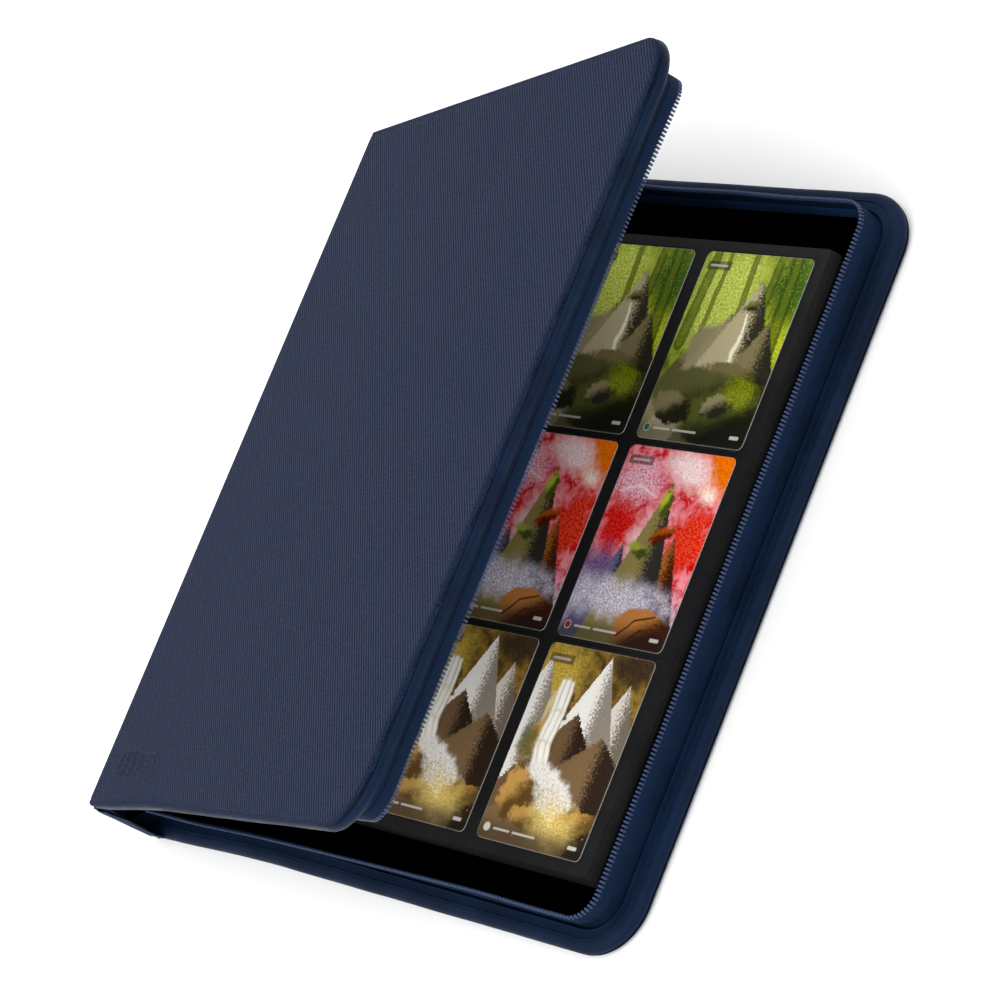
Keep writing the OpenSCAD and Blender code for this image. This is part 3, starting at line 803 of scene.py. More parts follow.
def sweep(section, x0, cx, cy, side_steps=36, fore_steps=40, turn_steps=10):
    """A closed section, (distance from a corner's centre, height), taken round three sides."""
    bm = bmesh.new()
    ring = [bm.verts.new((x0, -(cy + out), z)) for out, z in section]
    edges = [bm.edges.new((a, b)) for a, b in zip(ring, ring[1:] + ring[:1])]
    bm.faces.new(ring)
    geometry = ring + edges
    geometry = extrude_run(bm, geometry, ((cx - x0) / side_steps, 0, 0), side_steps)
    geometry = quarter_turn(bm, geometry, (cx, -cy, 0), turn_steps)
    geometry = extrude_run(bm, geometry, (0, 2 * cy / fore_steps, 0), fore_steps)
    geometry = quarter_turn(bm, geometry, (cx, cy, 0), turn_steps)
    geometry = extrude_run(bm, geometry, (-(cx - x0) / side_steps, 0, 0), side_steps)
    bmesh.ops.contextual_create(bm, geom=only(BMEdge, geometry))
    bmesh.ops.remove_doubles(bm, verts=bm.verts, dist=1e-4)
    bmesh.ops.recalc_face_normals(bm, faces=bm.faces)
    return bm


def outward(co, cx, cy):
    """Outward direction of the outline at a point, and how far round the three sides it is."""
    side = 1 if co.y > 0 else -1
    x, y = co.x - cx, abs(co.y) - cy
    radius = sizes_mm("corner") if cx == HALF_W - sizes_mm("corner") else sizes_mm("zip_corner")
    turn = radius * math.pi / 2
    if x <= 0:
        n, part = Vector((0, side, 0)), 0.0 - x
        run = (cx + HALF_W) - part if side < 0 else (cx + HALF_W) + 2 * turn + 2 * cy + part
    elif y <= 0:
        n = Vector((1, 0, 0))
        run = (cx + HALF_W) + turn + (co.y + cy)
    else:
        a = math.atan2(y, x)
        n = Vector((math.cos(a), side * math.sin(a), 0))
        run = (cx + HALF_W) + (turn - radius * a if side < 0 else turn + 2 * cy + radius * a)
    return n, run


def sizes_mm(name):
    return mm(getattr(sizes(), name))


def set_place(bm, rule):
    """Records where each point lies on the flat, unfolded piece, in metres."""
    layer = bm.verts.layers.float_vector.new("flat")
    for v in bm.verts:
        v[layer] = Vector(rule(v.co)) * 0.001


def smoothstep(t):
    t = max(0.0, min(1.0, t))
    return t * t * (3 - 2 * t)


def build(bm, name, body, finishes, half="back", replaces=(), smooth=True):
    """Brings a piece in millimetres to its place, gives it its finishes and its body."""
    if "flat" not in bm.verts.layers.float_vector:
        set_place(bm, lambda co: co)
    # the fabric spreads a little at the tail end of the spine
    tail = 1 if half == "front" else -1
    for v in bm.verts:
        near = smoothstep((-64 - v.co.x) / 96) * smoothstep((v.co.y * tail - 146) / 12)
        v.co.y += tail * sizes_mm("spread") * near
    if half == "front":
        bmesh.ops.transform(bm, matrix=FRONT_PLACE, verts=bm.verts)
    bmesh.ops.scale(bm, vec=(0.001, 0.001, 0.001), verts=bm.verts)
    mesh = bpy.data.meshes.new(name)
    bm.to_mesh(mesh)
    bm.free()
    piece = bpy.data.objects.new(name, mesh)
    bpy.context.scene.collection.objects.link(piece)
    for finish in finishes:
        mesh.materials.append(finish_of(finish))
    mesh.shade_smooth() if smooth else mesh.shade_flat()
    if smooth:
        mesh.set_sharp_from_angle(angle=math.radians(42))
    if body:
        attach(piece, body)
    if replaces:
        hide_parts(*replaces)
    return piece


def blended(piece, half):
    """Bakes a piece's placement into its mesh; either half is treated the same."""
    if half == "back":
        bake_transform(piece)
    else:
        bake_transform(piece)
    return piece


class Bend:
    """Takes a flat sheet round the fold of a half: face distances are from the fold line."""

    def __init__(self, half, plate_face, spine_face, radius):
        self.angle = math.pi / 2 if half == "back" else math.pi / 2 - LIFT
        s, c = math.sin(self.angle), math.cos(self.angle)
        cz = plate_face + radius
        cx = (spine_face + radius - cz * c) / s
        self.radius = radius
        self.centre = Vector((FOLD.x + cx, FOLD.z + cz))
        self.up = Vector((-c, s))
        self.end = self.centre.x - radius * self.angle - (MID_SPINE - (-cx * c + cz * s))

    def __call__(self, co):
        gap = self.centre.x - co.x
        if gap <= 0:
            return Vector((co.x, co.y, self.centre.y - self.radius + co.z))
        turned = min(gap / self.radius, self.angle)
        reach = self.radius - co.z
        p = self.centre - reach * Vector((math.sin(turned), math.cos(turned)))
        p += self.up * max(0.0, gap - self.radius * self.angle)
        return Vector((p.x, co.y, p.y))


def slice_at(bm, axis, values):
    for value in values:
        co, no = [0, 0, 0], [0, 0, 0]
        co[axis], no[axis] = value, 1
        bmesh.ops.bisect_plane(bm, geom=bm.verts[:] + bm.edges[:] + bm.faces[:], dist=1e-5,
                               plane_co=co, plane_no=no, clear_inner=False, clear_outer=False)


def sheet_outline(x0, x1, half_y, radius, segments=12):
    """One flat face, square at x0 and rounded at x1."""
    bm = bmesh.new()
    bmesh.ops.create_grid(bm, x_segments=1, y_segments=1, size=1)
    bmesh.ops.scale(bm, vec=((x1 - x0) / 2, half_y, 1), verts=bm.verts)
    bmesh.ops.translate(bm, vec=((x1 + x0) / 2, 0, 0), verts=bm.verts)
    corners = [v for v in bm.verts if v.co.x > (x0 + x1) / 2]
    bmesh.ops.bevel(bm, geom=corners, offset=radius, offset_type="OFFSET", segments=segments,
                    profile=0.5, affect="VERTICES", material=-1)
    return bm


def soft_wave(co, scale, amount, seed):
    return noise.noise(Vector((co.x * scale, co.y * scale, seed))) * amount


# ---- pieces ----


def make_cover(half):
    """The ribbed skin of a half: flat face, rolled edges, and the wrap round to the mid-spine."""
    bend = Bend(half, -SKIN_BACK, -SKIN_BACK, sizes_mm("skin_turn"))
    r = sizes_mm("corner")
    bm = sheet_outline(bend.end - 20, HALF_W, HALF_H, r, 16)
    cx, cy = HALF_W - r, HALF_H - r
    rolled = bm.verts.layers.float.new("rolled")
    face = bm.faces[:][0]
    rings = ((0.0, 1.8), (0.12, 1.25), (0.5, 0.75), (1.2, 0.38), (2.2, 0.15), (3.4, 0.04),
             (4.6, 0.0), (5.8, 0.0), (8.0, 0.0))
    for v in face.verts:
        v.co.z = rings[0][1]
        v[rolled] = 1.0
    rim = [e for e in bm.edges]
    for (d0, _), (d1, z) in zip(rings, rings[1:]):
        bmesh.ops.inset_region(bm, faces=[face], thickness=d1 - d0, depth=0.0,
                               use_even_offset=True, use_boundary=True)
        for v in face.verts:
            v.co.z = z
            v[rolled] = 1.0 if d1 < 3 else (0.55 if d1 < 4 else 0.0)
    tuck = bmesh.ops.extrude_edge_only(bm, edges=rim)["geom"]
    for v in only(BMVert, tuck):
        n, _ = outward(v.co, cx, cy)
        v.co += Vector((-1.8 * n.x, -1.8 * n.y, 0.6))
        v[rolled] = 1.0
    for v in bm.verts:
        n, _ = outward(v.co, cx, cy)
        side = n.y * n.y
        inset = (HALF_H - abs(v.co.y)) if side > 0.98 else r - math.hypot(v.co.x - cx,
            abs(v.co.y) - cy)
        if side > 0 and 0 < inset < 8.5:
            v.co.xy += n.xy * inset * 0.45 * side * (1 - max(0.0, inset - 5.8) / 2.7)
            if 4.5 < inset < 4.7:
                v.co.z += 0.28 * side
            v[rolled] *= 1 - 0.35 * side
    fold_lines = [bend.centre.x - bend.radius * bend.angle * k / 8 for k in range(9)]
    slice_at(bm, 0, fold_lines + [bend.end] + [-150 + 10 * k for k in range(30)])
    slice_at(bm, 1, [-160 + 10 * k for k in range(33)])
    bmesh.ops.delete(bm, geom=[v for v in bm.verts if v.co.x < bend.end - 1e-3], context="VERTS")
    bmesh.ops.recalc_face_normals(bm, faces=bm.faces)
    flat = max(bm.faces, key=lambda f: f.calc_area())
    if flat.normal.z > 0:
        bmesh.ops.reverse_faces(bm, faces=bm.faces)
    set_place(bm, lambda co: co)
    for v in bm.verts:
        if v.co.z < 0.01 and v.co.x > bend.centre.x:
            v.co.z += soft_wave(v.co, 0.012, 0.12, 3.1)
        v.co = bend(v.co)
    piece = build(bm, half + "_cover", None, ["ribbed_cover"], half,
                  [half + "_skin"] + (["spine_skin"] if half == "front" else []))
    return blended(piece, half)


def make_lining_sheet(half):
    bend = Bend(half, FLOOR - FOLD.z, 3.2 - SKIN_BACK, 1.0)
    lap = 0.4
    r = sizes_mm("zip_corner") - 0.6
    x1, hy = WALL_HIGH.x - 1.2 + lap, WALL_HIGH.y - 1.2 + lap
    bm = sheet_outline(bend.end, x1, hy, r, 8)
    fold_lines = [bend.centre.x - bend.radius * bend.angle * k / 5 for k in range(6)]
    slice_at(bm, 0, fold_lines + [-150, -140, -90, -45, 0, 45, 90, 130])
    slice_at(bm, 1, [-140, -105, -70, -35, 0, 35, 70, 105, 140])
    # beyond the walls the lining runs out to the edge of the spine
    spine_edges = [e for e in bm.edges if e.is_boundary and abs(abs(e.verts[0].co.y) - hy) < 1e-3
                   and abs(abs(e.verts[1].co.y) - hy) < 1e-3
                   and max(v.co.x for v in e.verts) < WALL_LOW.x - 3.9]
    out = bmesh.ops.extrude_edge_only(bm, edges=spine_edges)["geom"]
    for v in only(BMVert, out):
        v.co.y = math.copysign(HALF_H - 1.4, v.co.y)
    set_place(bm, lambda co: co)
    bmesh.ops.recalc_face_normals(bm, faces=bm.faces)
    if max(bm.faces, key=lambda f: f.calc_area()).normal.z < 0:
        bmesh.ops.reverse_faces(bm, faces=bm.faces)
    for v in bm.verts:
        v.co = bend(v.co)
    piece = build(bm, half + "_lining_sheet", None, ["lining"], half,
                  [half + "_lining"] + (["spine_lining"] if half == "front" else []))
    return blended(piece, half)


def make_rim(half):
    r = sizes_mm("corner")
    top = RIM_HIGH.z - 0.5
    section = [(r - inset, z) for inset, z in (
        (6.0, 2.6), (3.0, 2.35), (1.3, 2.1), (0.5, 2.05), (0.1, 2.4), (-0.25, 3.3), (-0.3, 4.4),
        (0.0, 5.5), (0.7, 6.5), (1.7, 7.15), (2.8, top - 0.15), (4.0, top - 0.02), (4.25,
            top - 0.05),
        (4.4, top + 0.2), (4.6, top + 0.28), (4.8, top + 0.18), (4.95, top - 0.08), (5.6,
            top - 0.12),
        (6.8, top - 0.14), (7.9, top - 0.12), (8.3, top - 0.1), (8.45, top + 0.16),
        (8.65, top + 0.26), (8.85, top + 0.14), (9.05, top - 0.2), (9.5, top - 0.6), (9.9, 6.4),
        (10.0, 3.2))]
    bm = sweep(section, RIM_LOW.x, HALF_W - r, HALF_H - r, turn_steps=14)
    cx, cy = HALF_W - r, HALF_H - r
    set_place(bm, lambda co: (outward(co, cx, cy)[1], co.z, 0))
    for v in bm.verts:
        if v.co.z > 2.5:
            n, run = outward(v.co, cx, cy)
            v.co += n * soft_wave(Vector((run, v.co.z * 3, 0)), 0.045, 0.22, 8.7)
            v.co.z += soft_wave(Vector((run, 0, 0)), 0.03, 0.22, 2.2)
    piece = build(bm, half + "_padded_rim", half, ["smooth_cover"], half,
                  [half + "_rim"])
    return piece


def zip_lean(n, x, z, run):
    """How far the zip wall stands out from its middle line at a height."""
    t = max(0.0, min(1.0, (z - 7.0) / 12.6))
    back = max(0.0, min(1.0, (60 - x) / 150))
    back = back * back * (3 - 2 * back)
    fore = 2.3 - 3.0 * t
    side = 0.1 + (0.3 + back * sizes_mm("flare")) * t
    wave = noise.noise(Vector((run * 0.022, 0.4, 1.7))) * 0.8 * t * (0.25 + 0.75 * n.y * n.y)
    return fore * n.x * n.x + side * n.y * n.y + wave


def zip_rise(run, z):
    return noise.noise(Vector((run * 0.016, 2.2, 0.3))) * 0.6 * max(0, (z - 8) / 12)


def lean_out(bm, cx, cy):
    for v in bm.verts:
        n, run = outward(v.co, cx, cy)
        if v.co.z > 3.4:
            v.co += n * zip_lean(n, v.co.x, v.co.z, run)
            v.co.z += zip_rise(run, v.co.z)


def zip_centre():
    r = sizes_mm("zip_corner")
    return WALL_HIGH.x - 0.6 - r, WALL_HIGH.y - 0.6 - r, r


def make_wall(half):
    cx, cy, r = zip_centre()
    top = WALL_HIGH.z
    outer = [(r + 0.6, z) for z in (3.2, 5.0, 7.0, 9.0, 11.0, 13.0, top - 0.3)]
    inner = [(r - 0.6, z) for z in (top - 0.3, 13.0, 11.0, 9.0, 7.0, 5.0, 3.2)]
    bm = sweep(outer + [(r + 0.35, top), (r - 0.35, top)] + inner, WALL_LOW.x, cx, cy,
               turn_steps=8)
    set_place(bm, lambda co: (outward(co, cx, cy)[1], co.z, 0))
    bm.normal_update()
    # faces turned inward take the lighter copy of the navy, painted light on the walls' inner side
    for f in bm.faces:
        n, _ = outward(f.calc_center_median(), cx, cy)
        f.material_index = 1 if f.normal.dot(n) < -0.5 else 0
    lean_out(bm, cx, cy)
    return build(bm, half + "_zip_wall", half, ["smooth_cover", "wall_inside_painted_light"],
        half,
                 [half + "_wall"])


def make_tape(half):
    cx, cy, r = zip_centre()
    low, high = WALL_HIGH.z - 2.2, TEETH_HIGH.z - 2.0
    section = [(r + 0.8, low), (r + 0.9, low + 0.4), (r + 0.9, high - 0.5), (r + 0.75, high - 0.1),
               (r + 0.5, high), (r - 0.5, high + 0.3), (r - 0.8, high + 0.1),
               (r - 0.9, high - 0.5), (r - 0.9, low + 0.4), (r - 0.8, low)]
    bm = sweep(section, WALL_LOW.x, cx, cy, turn_steps=8)
    set_place(bm, lambda co: (outward(co, cx, cy)[1], co.z, 0))
    lean_out(bm, cx, cy)
    return build(bm, half + "_zip_tape", half, ["zip_tape"], half, [half + "_tape"])


def make_zip_teeth(half):
    """Moulded teeth, one by one: a clamp over the tape's edge and a head."""
    cx, cy, r = zip_centre()
    x0 = WALL_LOW.x
    side, fore, turn = cx - x0, 2 * cy, r * math.pi / 2
    total = 2 * side + fore + 2 * turn
    count = int(total / sizes_mm("tooth_pitch"))
    low, high = TEETH_LOW.z, TEETH_HIGH.z
    bm = bmesh.new()
    for k in range(count):
        s = (k + 0.5) * total / count
        if s < side:
            p, n = Vector((x0 + s, -cy - r, 0)), Vector((0, -1, 0))
        elif s < side + turn:
            a = (s - side) / r
            n = Vector((math.sin(a), -math.cos(a), 0))
            p = Vector((cx, -cy, 0)) + r * n
        elif s < side + turn + fore:
            p, n = Vector((cx + r, -cy + s - side - turn, 0)), Vector((1, 0, 0))
        elif s < side + 2 * turn + fore:
            a = (s - side - turn - fore) / r
            n = Vector((math.cos(a), math.sin(a), 0))
            p = Vector((cx, cy, 0)) + r * n
        else:
            p, n = Vector((cx - (s - side - 2 * turn - fore), cy + r, 0)), Vector((0, 1, 0))
        t = Vector((-n.y, n.x, 0))
        for z0, z1, wide, thick, shift in ((low + 0.2, high - 1.2, 1.15, 1.5, 0.0),
                                           (high - 1.6, high, 0.95, 1.05, 0.1)):
            mid = (z0 + z1) / 2
            lean = [zip_lean(n, p.x, z, s) for z in (z0, z1)]
            up = (n * (lean[1] - lean[0]) + Vector((0, 0, z1 - z0))).normalized()
            centre = p + n * (sum(lean) / 2 + shift)
            centre.z = mid + zip_rise(s, mid)
            axes = Matrix((t * wide, n * thick, up * (z1 - z0))).transposed().to_4x4()
            bmesh.ops.create_cube(bm, size=1, matrix=Matrix.Translation(centre) @ axes)
    bmesh.ops.bevel(bm, geom=bm.edges[:], offset=0.24, offset_type="OFFSET", segments=1,
                    profile=0.5, affect="EDGES", material=-1)
    bmesh.ops.recalc_face_normals(bm, faces=bm.faces)
    return build(bm, half + "_zip_teeth", half, ["zip_teeth"], half,
        [half + "_teeth"])


def add_stitches(bm, start, end, normal, pitch, length=2.3, width=0.55, height=0.3):
    way = (end - start)
    count = max(1, int(way.length / pitch))
    t = way.normalized()
    b = normal.cross(t)
    for k in range(count):
        centre = start + way * ((k + 0.5) / count)
        axes = Matrix((t * length, b * width, normal * height)).transposed().to_4x4()
        bmesh.ops.create_cube(bm, size=1, matrix=Matrix.Translation(centre) @ axes)


def round_stitches(bm):
    bmesh.ops.bevel(bm, geom=bm.edges[:], offset=0.12, offset_type="OFFSET", segments=1,
                    profile=0.5, affect="EDGES", material=-1)
    bmesh.ops.recalc_face_normals(bm, faces=bm.faces)


def make_edge_stitches(half):
    bm = bmesh.new()
    for side in (-1, 1):
        y = side * (HALF_H - 2.53)
        add_stitches(bm, Vector((FOLD.x + 4, y, 0.16)), Vector((HALF_W - 26, y, 0.16)),
                     Vector((0, 0, -1)), sizes_mm("stitch_pitch"))
    round_stitches(bm)
    return build(bm, half + "_edge_stitches", half, ["thread"], half)


def make_spine_ends():
    """Woven tabs that close the zip's ends, with their rows of stitches."""
    for end, side in (("head", 1), ("tail", -1)):
        low, high = box("tab_" + end)
        y = side * (HALF_H + 0.95)
        bm = bmesh.new()
        bmesh.ops.create_grid(bm, x_segments=10, y_segments=22, size=0.5)
        for v in bm.verts:
            u, w = v.co.x + 0.5, v.co.y + 0.5
            z = low.z + 0.4 + w * (high.z - low.z - 0.8)
            x = low.x + 1.4 + 7.2 * (1 - smoothstep((w - 0.55) / 0.4)) + u * 8.4
            bulge = math.sin(math.pi * min(1, max(0, w))) * 0.35 + math.sin(math.pi * u) * 0.5
            # the edge by the spine is turned in to meet it, and so is the foot
            tuck = 0.75 * (1 - smoothstep(u / 0.25)) + 0.5 * (1 - smoothstep(w / 0.2))
            v.co = Vector((x, y + side * (bulge - tuck), z))
        bmesh.ops.recalc_face_normals(bm, faces=bm.faces)
        if bm.faces[:][0].normal.y * side < 0:
            bmesh.ops.reverse_faces(bm, faces=bm.faces)
        bmesh.ops.solidify(bm, geom=bm.faces[:], thickness=0.45)
        bmesh.ops.recalc_face_normals(bm, faces=bm.faces)
        set_place(bm, lambda co: (co.x, co.z, 0))
        build(bm, "end_tab_" + end, "spine", ["end_tab"], "back", ["tab_" + end])
        bm = bmesh.new()
        out = Vector((0, side, 0))
        for x in (low.x + 10.2, low.x + 15.6):
            add_stitches(bm, Vector((x, y + side * 0.5, low.z + 1.5)),
                         Vector((x, y + side * 0.62, low.z + 16.5)), out, 2.4, 1.7, 0.4, 0.25)
        round_stitches(bm)
        build(bm, "end_tab_stitches_" + end, "spine", ["thread"])
        # the turned-in end of the spine beside the tab
        bm = bmesh.new()
        bmesh.ops.create_grid(bm, x_segments=28, y_segments=20, size=0.5)
        for v in bm.verts:
            u, w = v.co.x + 0.5, v.co.y + 0.5
            z = 2.6 + w * (CLOSED - 5.2)
            # it wraps the end of the spine's board, then lies back between the covers
            wrap = 1.25 * (1 - smoothstep((u - 0.15) / 0.14))
            v.co = Vector((low.x + 0.1 + u * 12.6, side * (HALF_H - 0.75 + wrap
                           + 0.55 * math.sin(math.pi * u) + 0.25 * math.sin(math.pi * w)), z))
        if bm.faces[:][0].normal.y * side < 0:
            bmesh.ops.reverse_faces(bm, faces=bm.faces)
        bmesh.ops.solidify(bm, geom=bm.faces[:], thickness=0.7)
        bmesh.ops.recalc_face_normals(bm, faces=bm.faces)
        build(bm, "spine_end_" + end, "spine", ["smooth_cover"])


def make_gussets():
    """Fabric that closes the corner between the spine, a cover and the end of the zip."""
    for half in ("back", "front"):
        bend = Bend(half, FLOOR - FOLD.z, 3.2 - SKIN_BACK, 1.0)
        for end, side in (("head", 1), ("tail", -1)):
            y_in, y_out = side * (WALL_HIGH.y - 0.6), side * (HALF_H - 1.0)
            bm = bmesh.new()
            bmesh.ops.create_grid(bm, x_segments=12, y_segments=10, size=0.5)
            up = Vector((bend.up.x, 0, bend.up.y))
            foot = Vector((FOLD.x + 1.8, 0, FLOOR))
            for v in bm.verts:
                u, w = v.co.x + 0.5, v.co.y + 0.5
                spine_side = foot + up * (w * (MID_SPINE - 2.6))
                wall_side = Vector((WALL_LOW.x + 1.2, 0, FLOOR - 0.6 + w * (WALL_HIGH.z - FLOOR)))
                p = spine_side.lerp(wall_side, u)
                p.y = y_out + (y_in - y_out) * u * u * (3 - 2 * u)
                p.y += side * 0.5 * math.sin(math.pi * u) * math.sin(math.pi * w)
                v.co = p
            bmesh.ops.solidify(bm, geom=bm.faces[:], thickness=0.8)
            bmesh.ops.recalc_face_normals(bm, faces=bm.faces)
            name = half + "_gusset_" + (end if half == "back" else {"head": "tail",
                "tail": "head"}[end])
            blended(build(bm, name, None, ["smooth_cover"], half), half)


def make_slider():
    """Slider: a channel with a roof and side walls, ears with a pin, and its pull on the pin."""
    low, high = box("slider")
    pull_low, pull_high = box("pull")
    mid = (low.x + high.x) / 2
    y = WALL_HIGH.y - 0.6
    out_y = 3.2
    bm = bmesh.new()
    # the channel, drawn as its end and pulled along the zip
    roof = high.z
    points = [(-out_y, low.z), (-out_y, roof), (out_y, roof), (out_y, low.z),
              (1.25, low.z), (1.25, roof - 0.5), (-1.25, roof - 0.5), (-1.25, low.z)]
    ring = [bm.verts.new((mid - 6, y + a, z)) for a, z in points]
    face = bm.faces.new(ring)
    geometry = bmesh.ops.extrude_face_region(bm, geom=[face])["geom"]
    bmesh.ops.translate(bm, vec=(12, 0, 0), verts=only(BMVert, geometry))
    slice_at(bm, 0, [mid - 3, mid, mid + 3])
    for v in bm.verts:
        u = (v.co.x - mid) / 6
        v.co.y = y + (v.co.y - y) * (1.0 - 0.16 * max(0, -u) ** 2 - 0.1 * max(0, u) ** 2)
    sharp = [e for e in bm.edges if e.calc_face_angle(0) > 0.5]
    bmesh.ops.bevel(bm, geom=sharp, offset=0.35, offset_type="OFFSET", segments=2, profile=0.5,
                    affect="EDGES", material=-1)
    # ears and the pin between them
    pin_y = y + out_y + 1.9
    for z in (low.z + 0.4, high.z - 1.2):
        ear = bmesh.ops.create_cube(bm, size=1, matrix=Matrix.Translation((mid, pin_y - 0.4, z))
                                    @ Matrix.Diagonal((3.2, 3.4, 0.8, 1)))["verts"]
        edges = [e for e in bm.edges if e.verts[0] in ear and e.verts[1] in ear]
        bmesh.ops.bevel(bm, geom=edges, offset=0.25, offset_type="OFFSET", segments=2, profile=0.5,
                        affect="EDGES", material=-1)
    bmesh.ops.create_cone(bm, cap_ends=True, segments=20, radius1=0.6, radius2=0.6,
                          depth=high.z - low.z - 1.4,
                          matrix=Matrix.Translation((mid, pin_y, (low.z + high.z) / 2 - 0.3)))
    bmesh.ops.recalc_face_normals(bm, faces=bm.faces)
    build(bm, "zip_slider", "slider", ["zip_metal"], "back", ["slider"])
    # the pull: a flat bar with an eye, a waist, a window and a rounded end
    bm = bmesh.new()
    tall = pull_high.z - pull_low.z
    zc = (pull_high.z + pull_low.z) / 2
    reach = mid - pull_low.x
    bmesh.ops.create_grid(bm, x_segments=1, y_segments=1, size=0.5)
    for v in bm.verts:
        v.co = Vector((mid - 0.9 - (0.5 - v.co.x) * (reach - 0.9), pin_y, zc + v.co.y * tall))
    slice_at(bm, 0, [mid - reach * k for k in (0.16, 0.28, 0.42, 0.86)])
    for v in bm.verts:
        u = (mid - v.co.x) / reach
        if abs(u - 0.28) < 0.02:
            v.co.z = zc + (v.co.z - zc) * 0.66
    window = [f for f in bm.faces if 0.42 < (mid - f.calc_center_median().x) / reach < 0.86]
    bmesh.ops.inset_region(bm, faces=window, thickness=1.0, depth=0.0, use_even_offset=True,
                           use_boundary=True)
    bmesh.ops.delete(bm, geom=window, context="FACES")
    ends = [v for v in bm.verts if (mid - v.co.x) / reach > 0.99]
    bmesh.ops.bevel(bm, geom=ends, offset=1.7, offset_type="OFFSET", segments=6, profile=0.5,
                    affect="VERTICES", material=-1)
    bmesh.ops.solidify(bm, geom=bm.faces[:], thickness=1.2)
    bmesh.ops.translate(bm, vec=(0, -0.6 - (sum(v.co.y for v in bm.verts) / len(bm.verts)
                                           - pin_y) + 0.6, 0), verts=bm.verts)
    bmesh.ops.recalc_face_normals(bm, faces=bm.faces)
    sharp = [e for e in bm.edges if e.calc_face_angle(0) > 0.9]
    bmesh.ops.bevel(bm, geom=sharp, offset=0.2, offset_type="OFFSET", segments=2, profile=0.5,
                    affect="EDGES", material=-1)
    eye = bmesh.ops.create_cone(bm, cap_ends=True, segments=28, radius1=1.5, radius2=1.5,
        depth=tall - 0.2,
                                matrix=Matrix.Translation((mid, pin_y, zc)))["verts"]
    edges = [e for e in bm.edges if e.verts[0] in eye and e.verts[1] in eye
             and abs(e.verts[0].co.z - e.verts[1].co.z) < 1e-3 and len(e.link_faces) == 2]
    bmesh.ops.bevel(bm, geom=edges, offset=0.25, offset_type="OFFSET", segments=2, profile=0.5,
                    affect="EDGES", material=-1)
    bmesh.ops.recalc_face_normals(bm, faces=bm.faces)
    build(bm, "zip_pull", "pull", ["zip_metal"], "back", ["pull"])


def make_binding():
    low, high = box("binding_strip")
    bm = bmesh.new()
    section = [(low.x, low.z), (high.x, low.z), (high.x, low.z + 0.45), (high.x - 0.4,
        low.z + 0.6),
               (low.x + 2.2, low.z + 0.6), (low.x + 1.3, low.z + 1.2), (low.x + 0.9, low.z + 2.4),
               (low.x + 0.9, high.z - 0.2), (low.x + 0.7, high.z), (low.x + 0.2, high.z),
               (low.x, high.z - 0.2)]
    ring = [bm.verts.new((x, low.y, z)) for x, z in section]
    face = bm.faces.new(ring)
    geometry = bmesh.ops.extrude_face_region(bm, geom=[face])["geom"]
    bmesh.ops.translate(bm, vec=(0, high.y - low.y, 0), verts=only(BMVert, geometry))
    bmesh.ops.recalc_face_normals(bm, faces=bm.faces)
    set_place(bm, lambda co: (co.x + co.z, co.y, 0))
    build(bm, "leaf_binding", "back", ["lining"], "back", ["binding_strip"])
    bm = bmesh.new()
    for x in (low.x + 6, high.x - 2.5):
        add_stitches(bm, Vector((x, low.y + 4, low.z + 0.66)), Vector((x, high.y - 4,
            low.z + 0.66)),
                     Vector((0, 0, 1)), 3.2, 2.2, 0.5, 0.25)
    round_stitches(bm)
    build(bm, "leaf_binding_stitches", "back", ["lining"])


def body_of_node(node):
    bodies = frame["record"]["behaviour"]["bodies"]
    return next(b for b, nodes in bodies.items() if node in nodes)


def leaf_mesh(low, high, seed, thick_scale=1.0):
    bm = bmesh.new()
    bmesh.ops.create_grid(bm, x_segments=1, y_segments=1, size=0.5)
    for v in bm.verts:
        v.co = Vector(((low.x + high.x) / 2 + v.co.x * (high.x - low.x),
                       (low.y + high.y) / 2 + v.co.y * (high.y - low.y), 0))
    corners = [v for v in bm.verts if v.co.x > 0]
    bmesh.ops.bevel(bm, geom=corners, offset=sizes_mm("leaf_corner"), offset_type="OFFSET",
                    segments=5, profile=0.5, affect="VERTICES", material=-1)
    slice_at(bm, 0, [low.x + (high.x - low.x) * k / 12 for k in range(1, 12)])
    slice_at(bm, 1, [low.y + (high.y - low.y) * k / 12 for k in range(1, 12)])
    face = bm.faces[:]
    out = bmesh.ops.extrude_face_region(bm, geom=face)["geom"]
    bmesh.ops.translate(bm, vec=(0, 0, (high.z - low.z) * thick_scale), verts=only(BMVert, out))
    bmesh.ops.recalc_face_normals(bm, faces=bm.faces)
    for v in bm.verts:
        free = max(0.0, (v.co.x - low.x) / (high.x - low.x))
        v.co.z += low.z + soft_wave(v.co, 0.011, 0.12 * free, seed)
        v.co.x += soft_wave(Vector((0, v.co.y, 0)), 0.02, 0.5 * free, seed * 7.3)
    return bm


def make_leaves():
    """Twenty leaves: a charcoal sheet each."""
    nodes = sorted(n for n in frame["nodes"] if n.startswith("leaf_"))
    for k, node in enumerate(nodes):
        low, high = box(node)
        top = node == nodes[0]
        if top:
            high = high - Vector((0, 0, 0.32))
        bm = leaf_mesh(low, high, 0.0 if top else 0.31 * k)
        if top:
            for v in bm.verts:
                v.co.z = low.z if v.co.z < (low.z + high.z) / 2 else high.z
        build(bm, "page_" + node[-2:], body_of_node(node), ["page_film"], "back",
            [node])


def pocket_boxes():
    for row in "123":
        for column in "abcd":
            yield box("card_" + row + column)


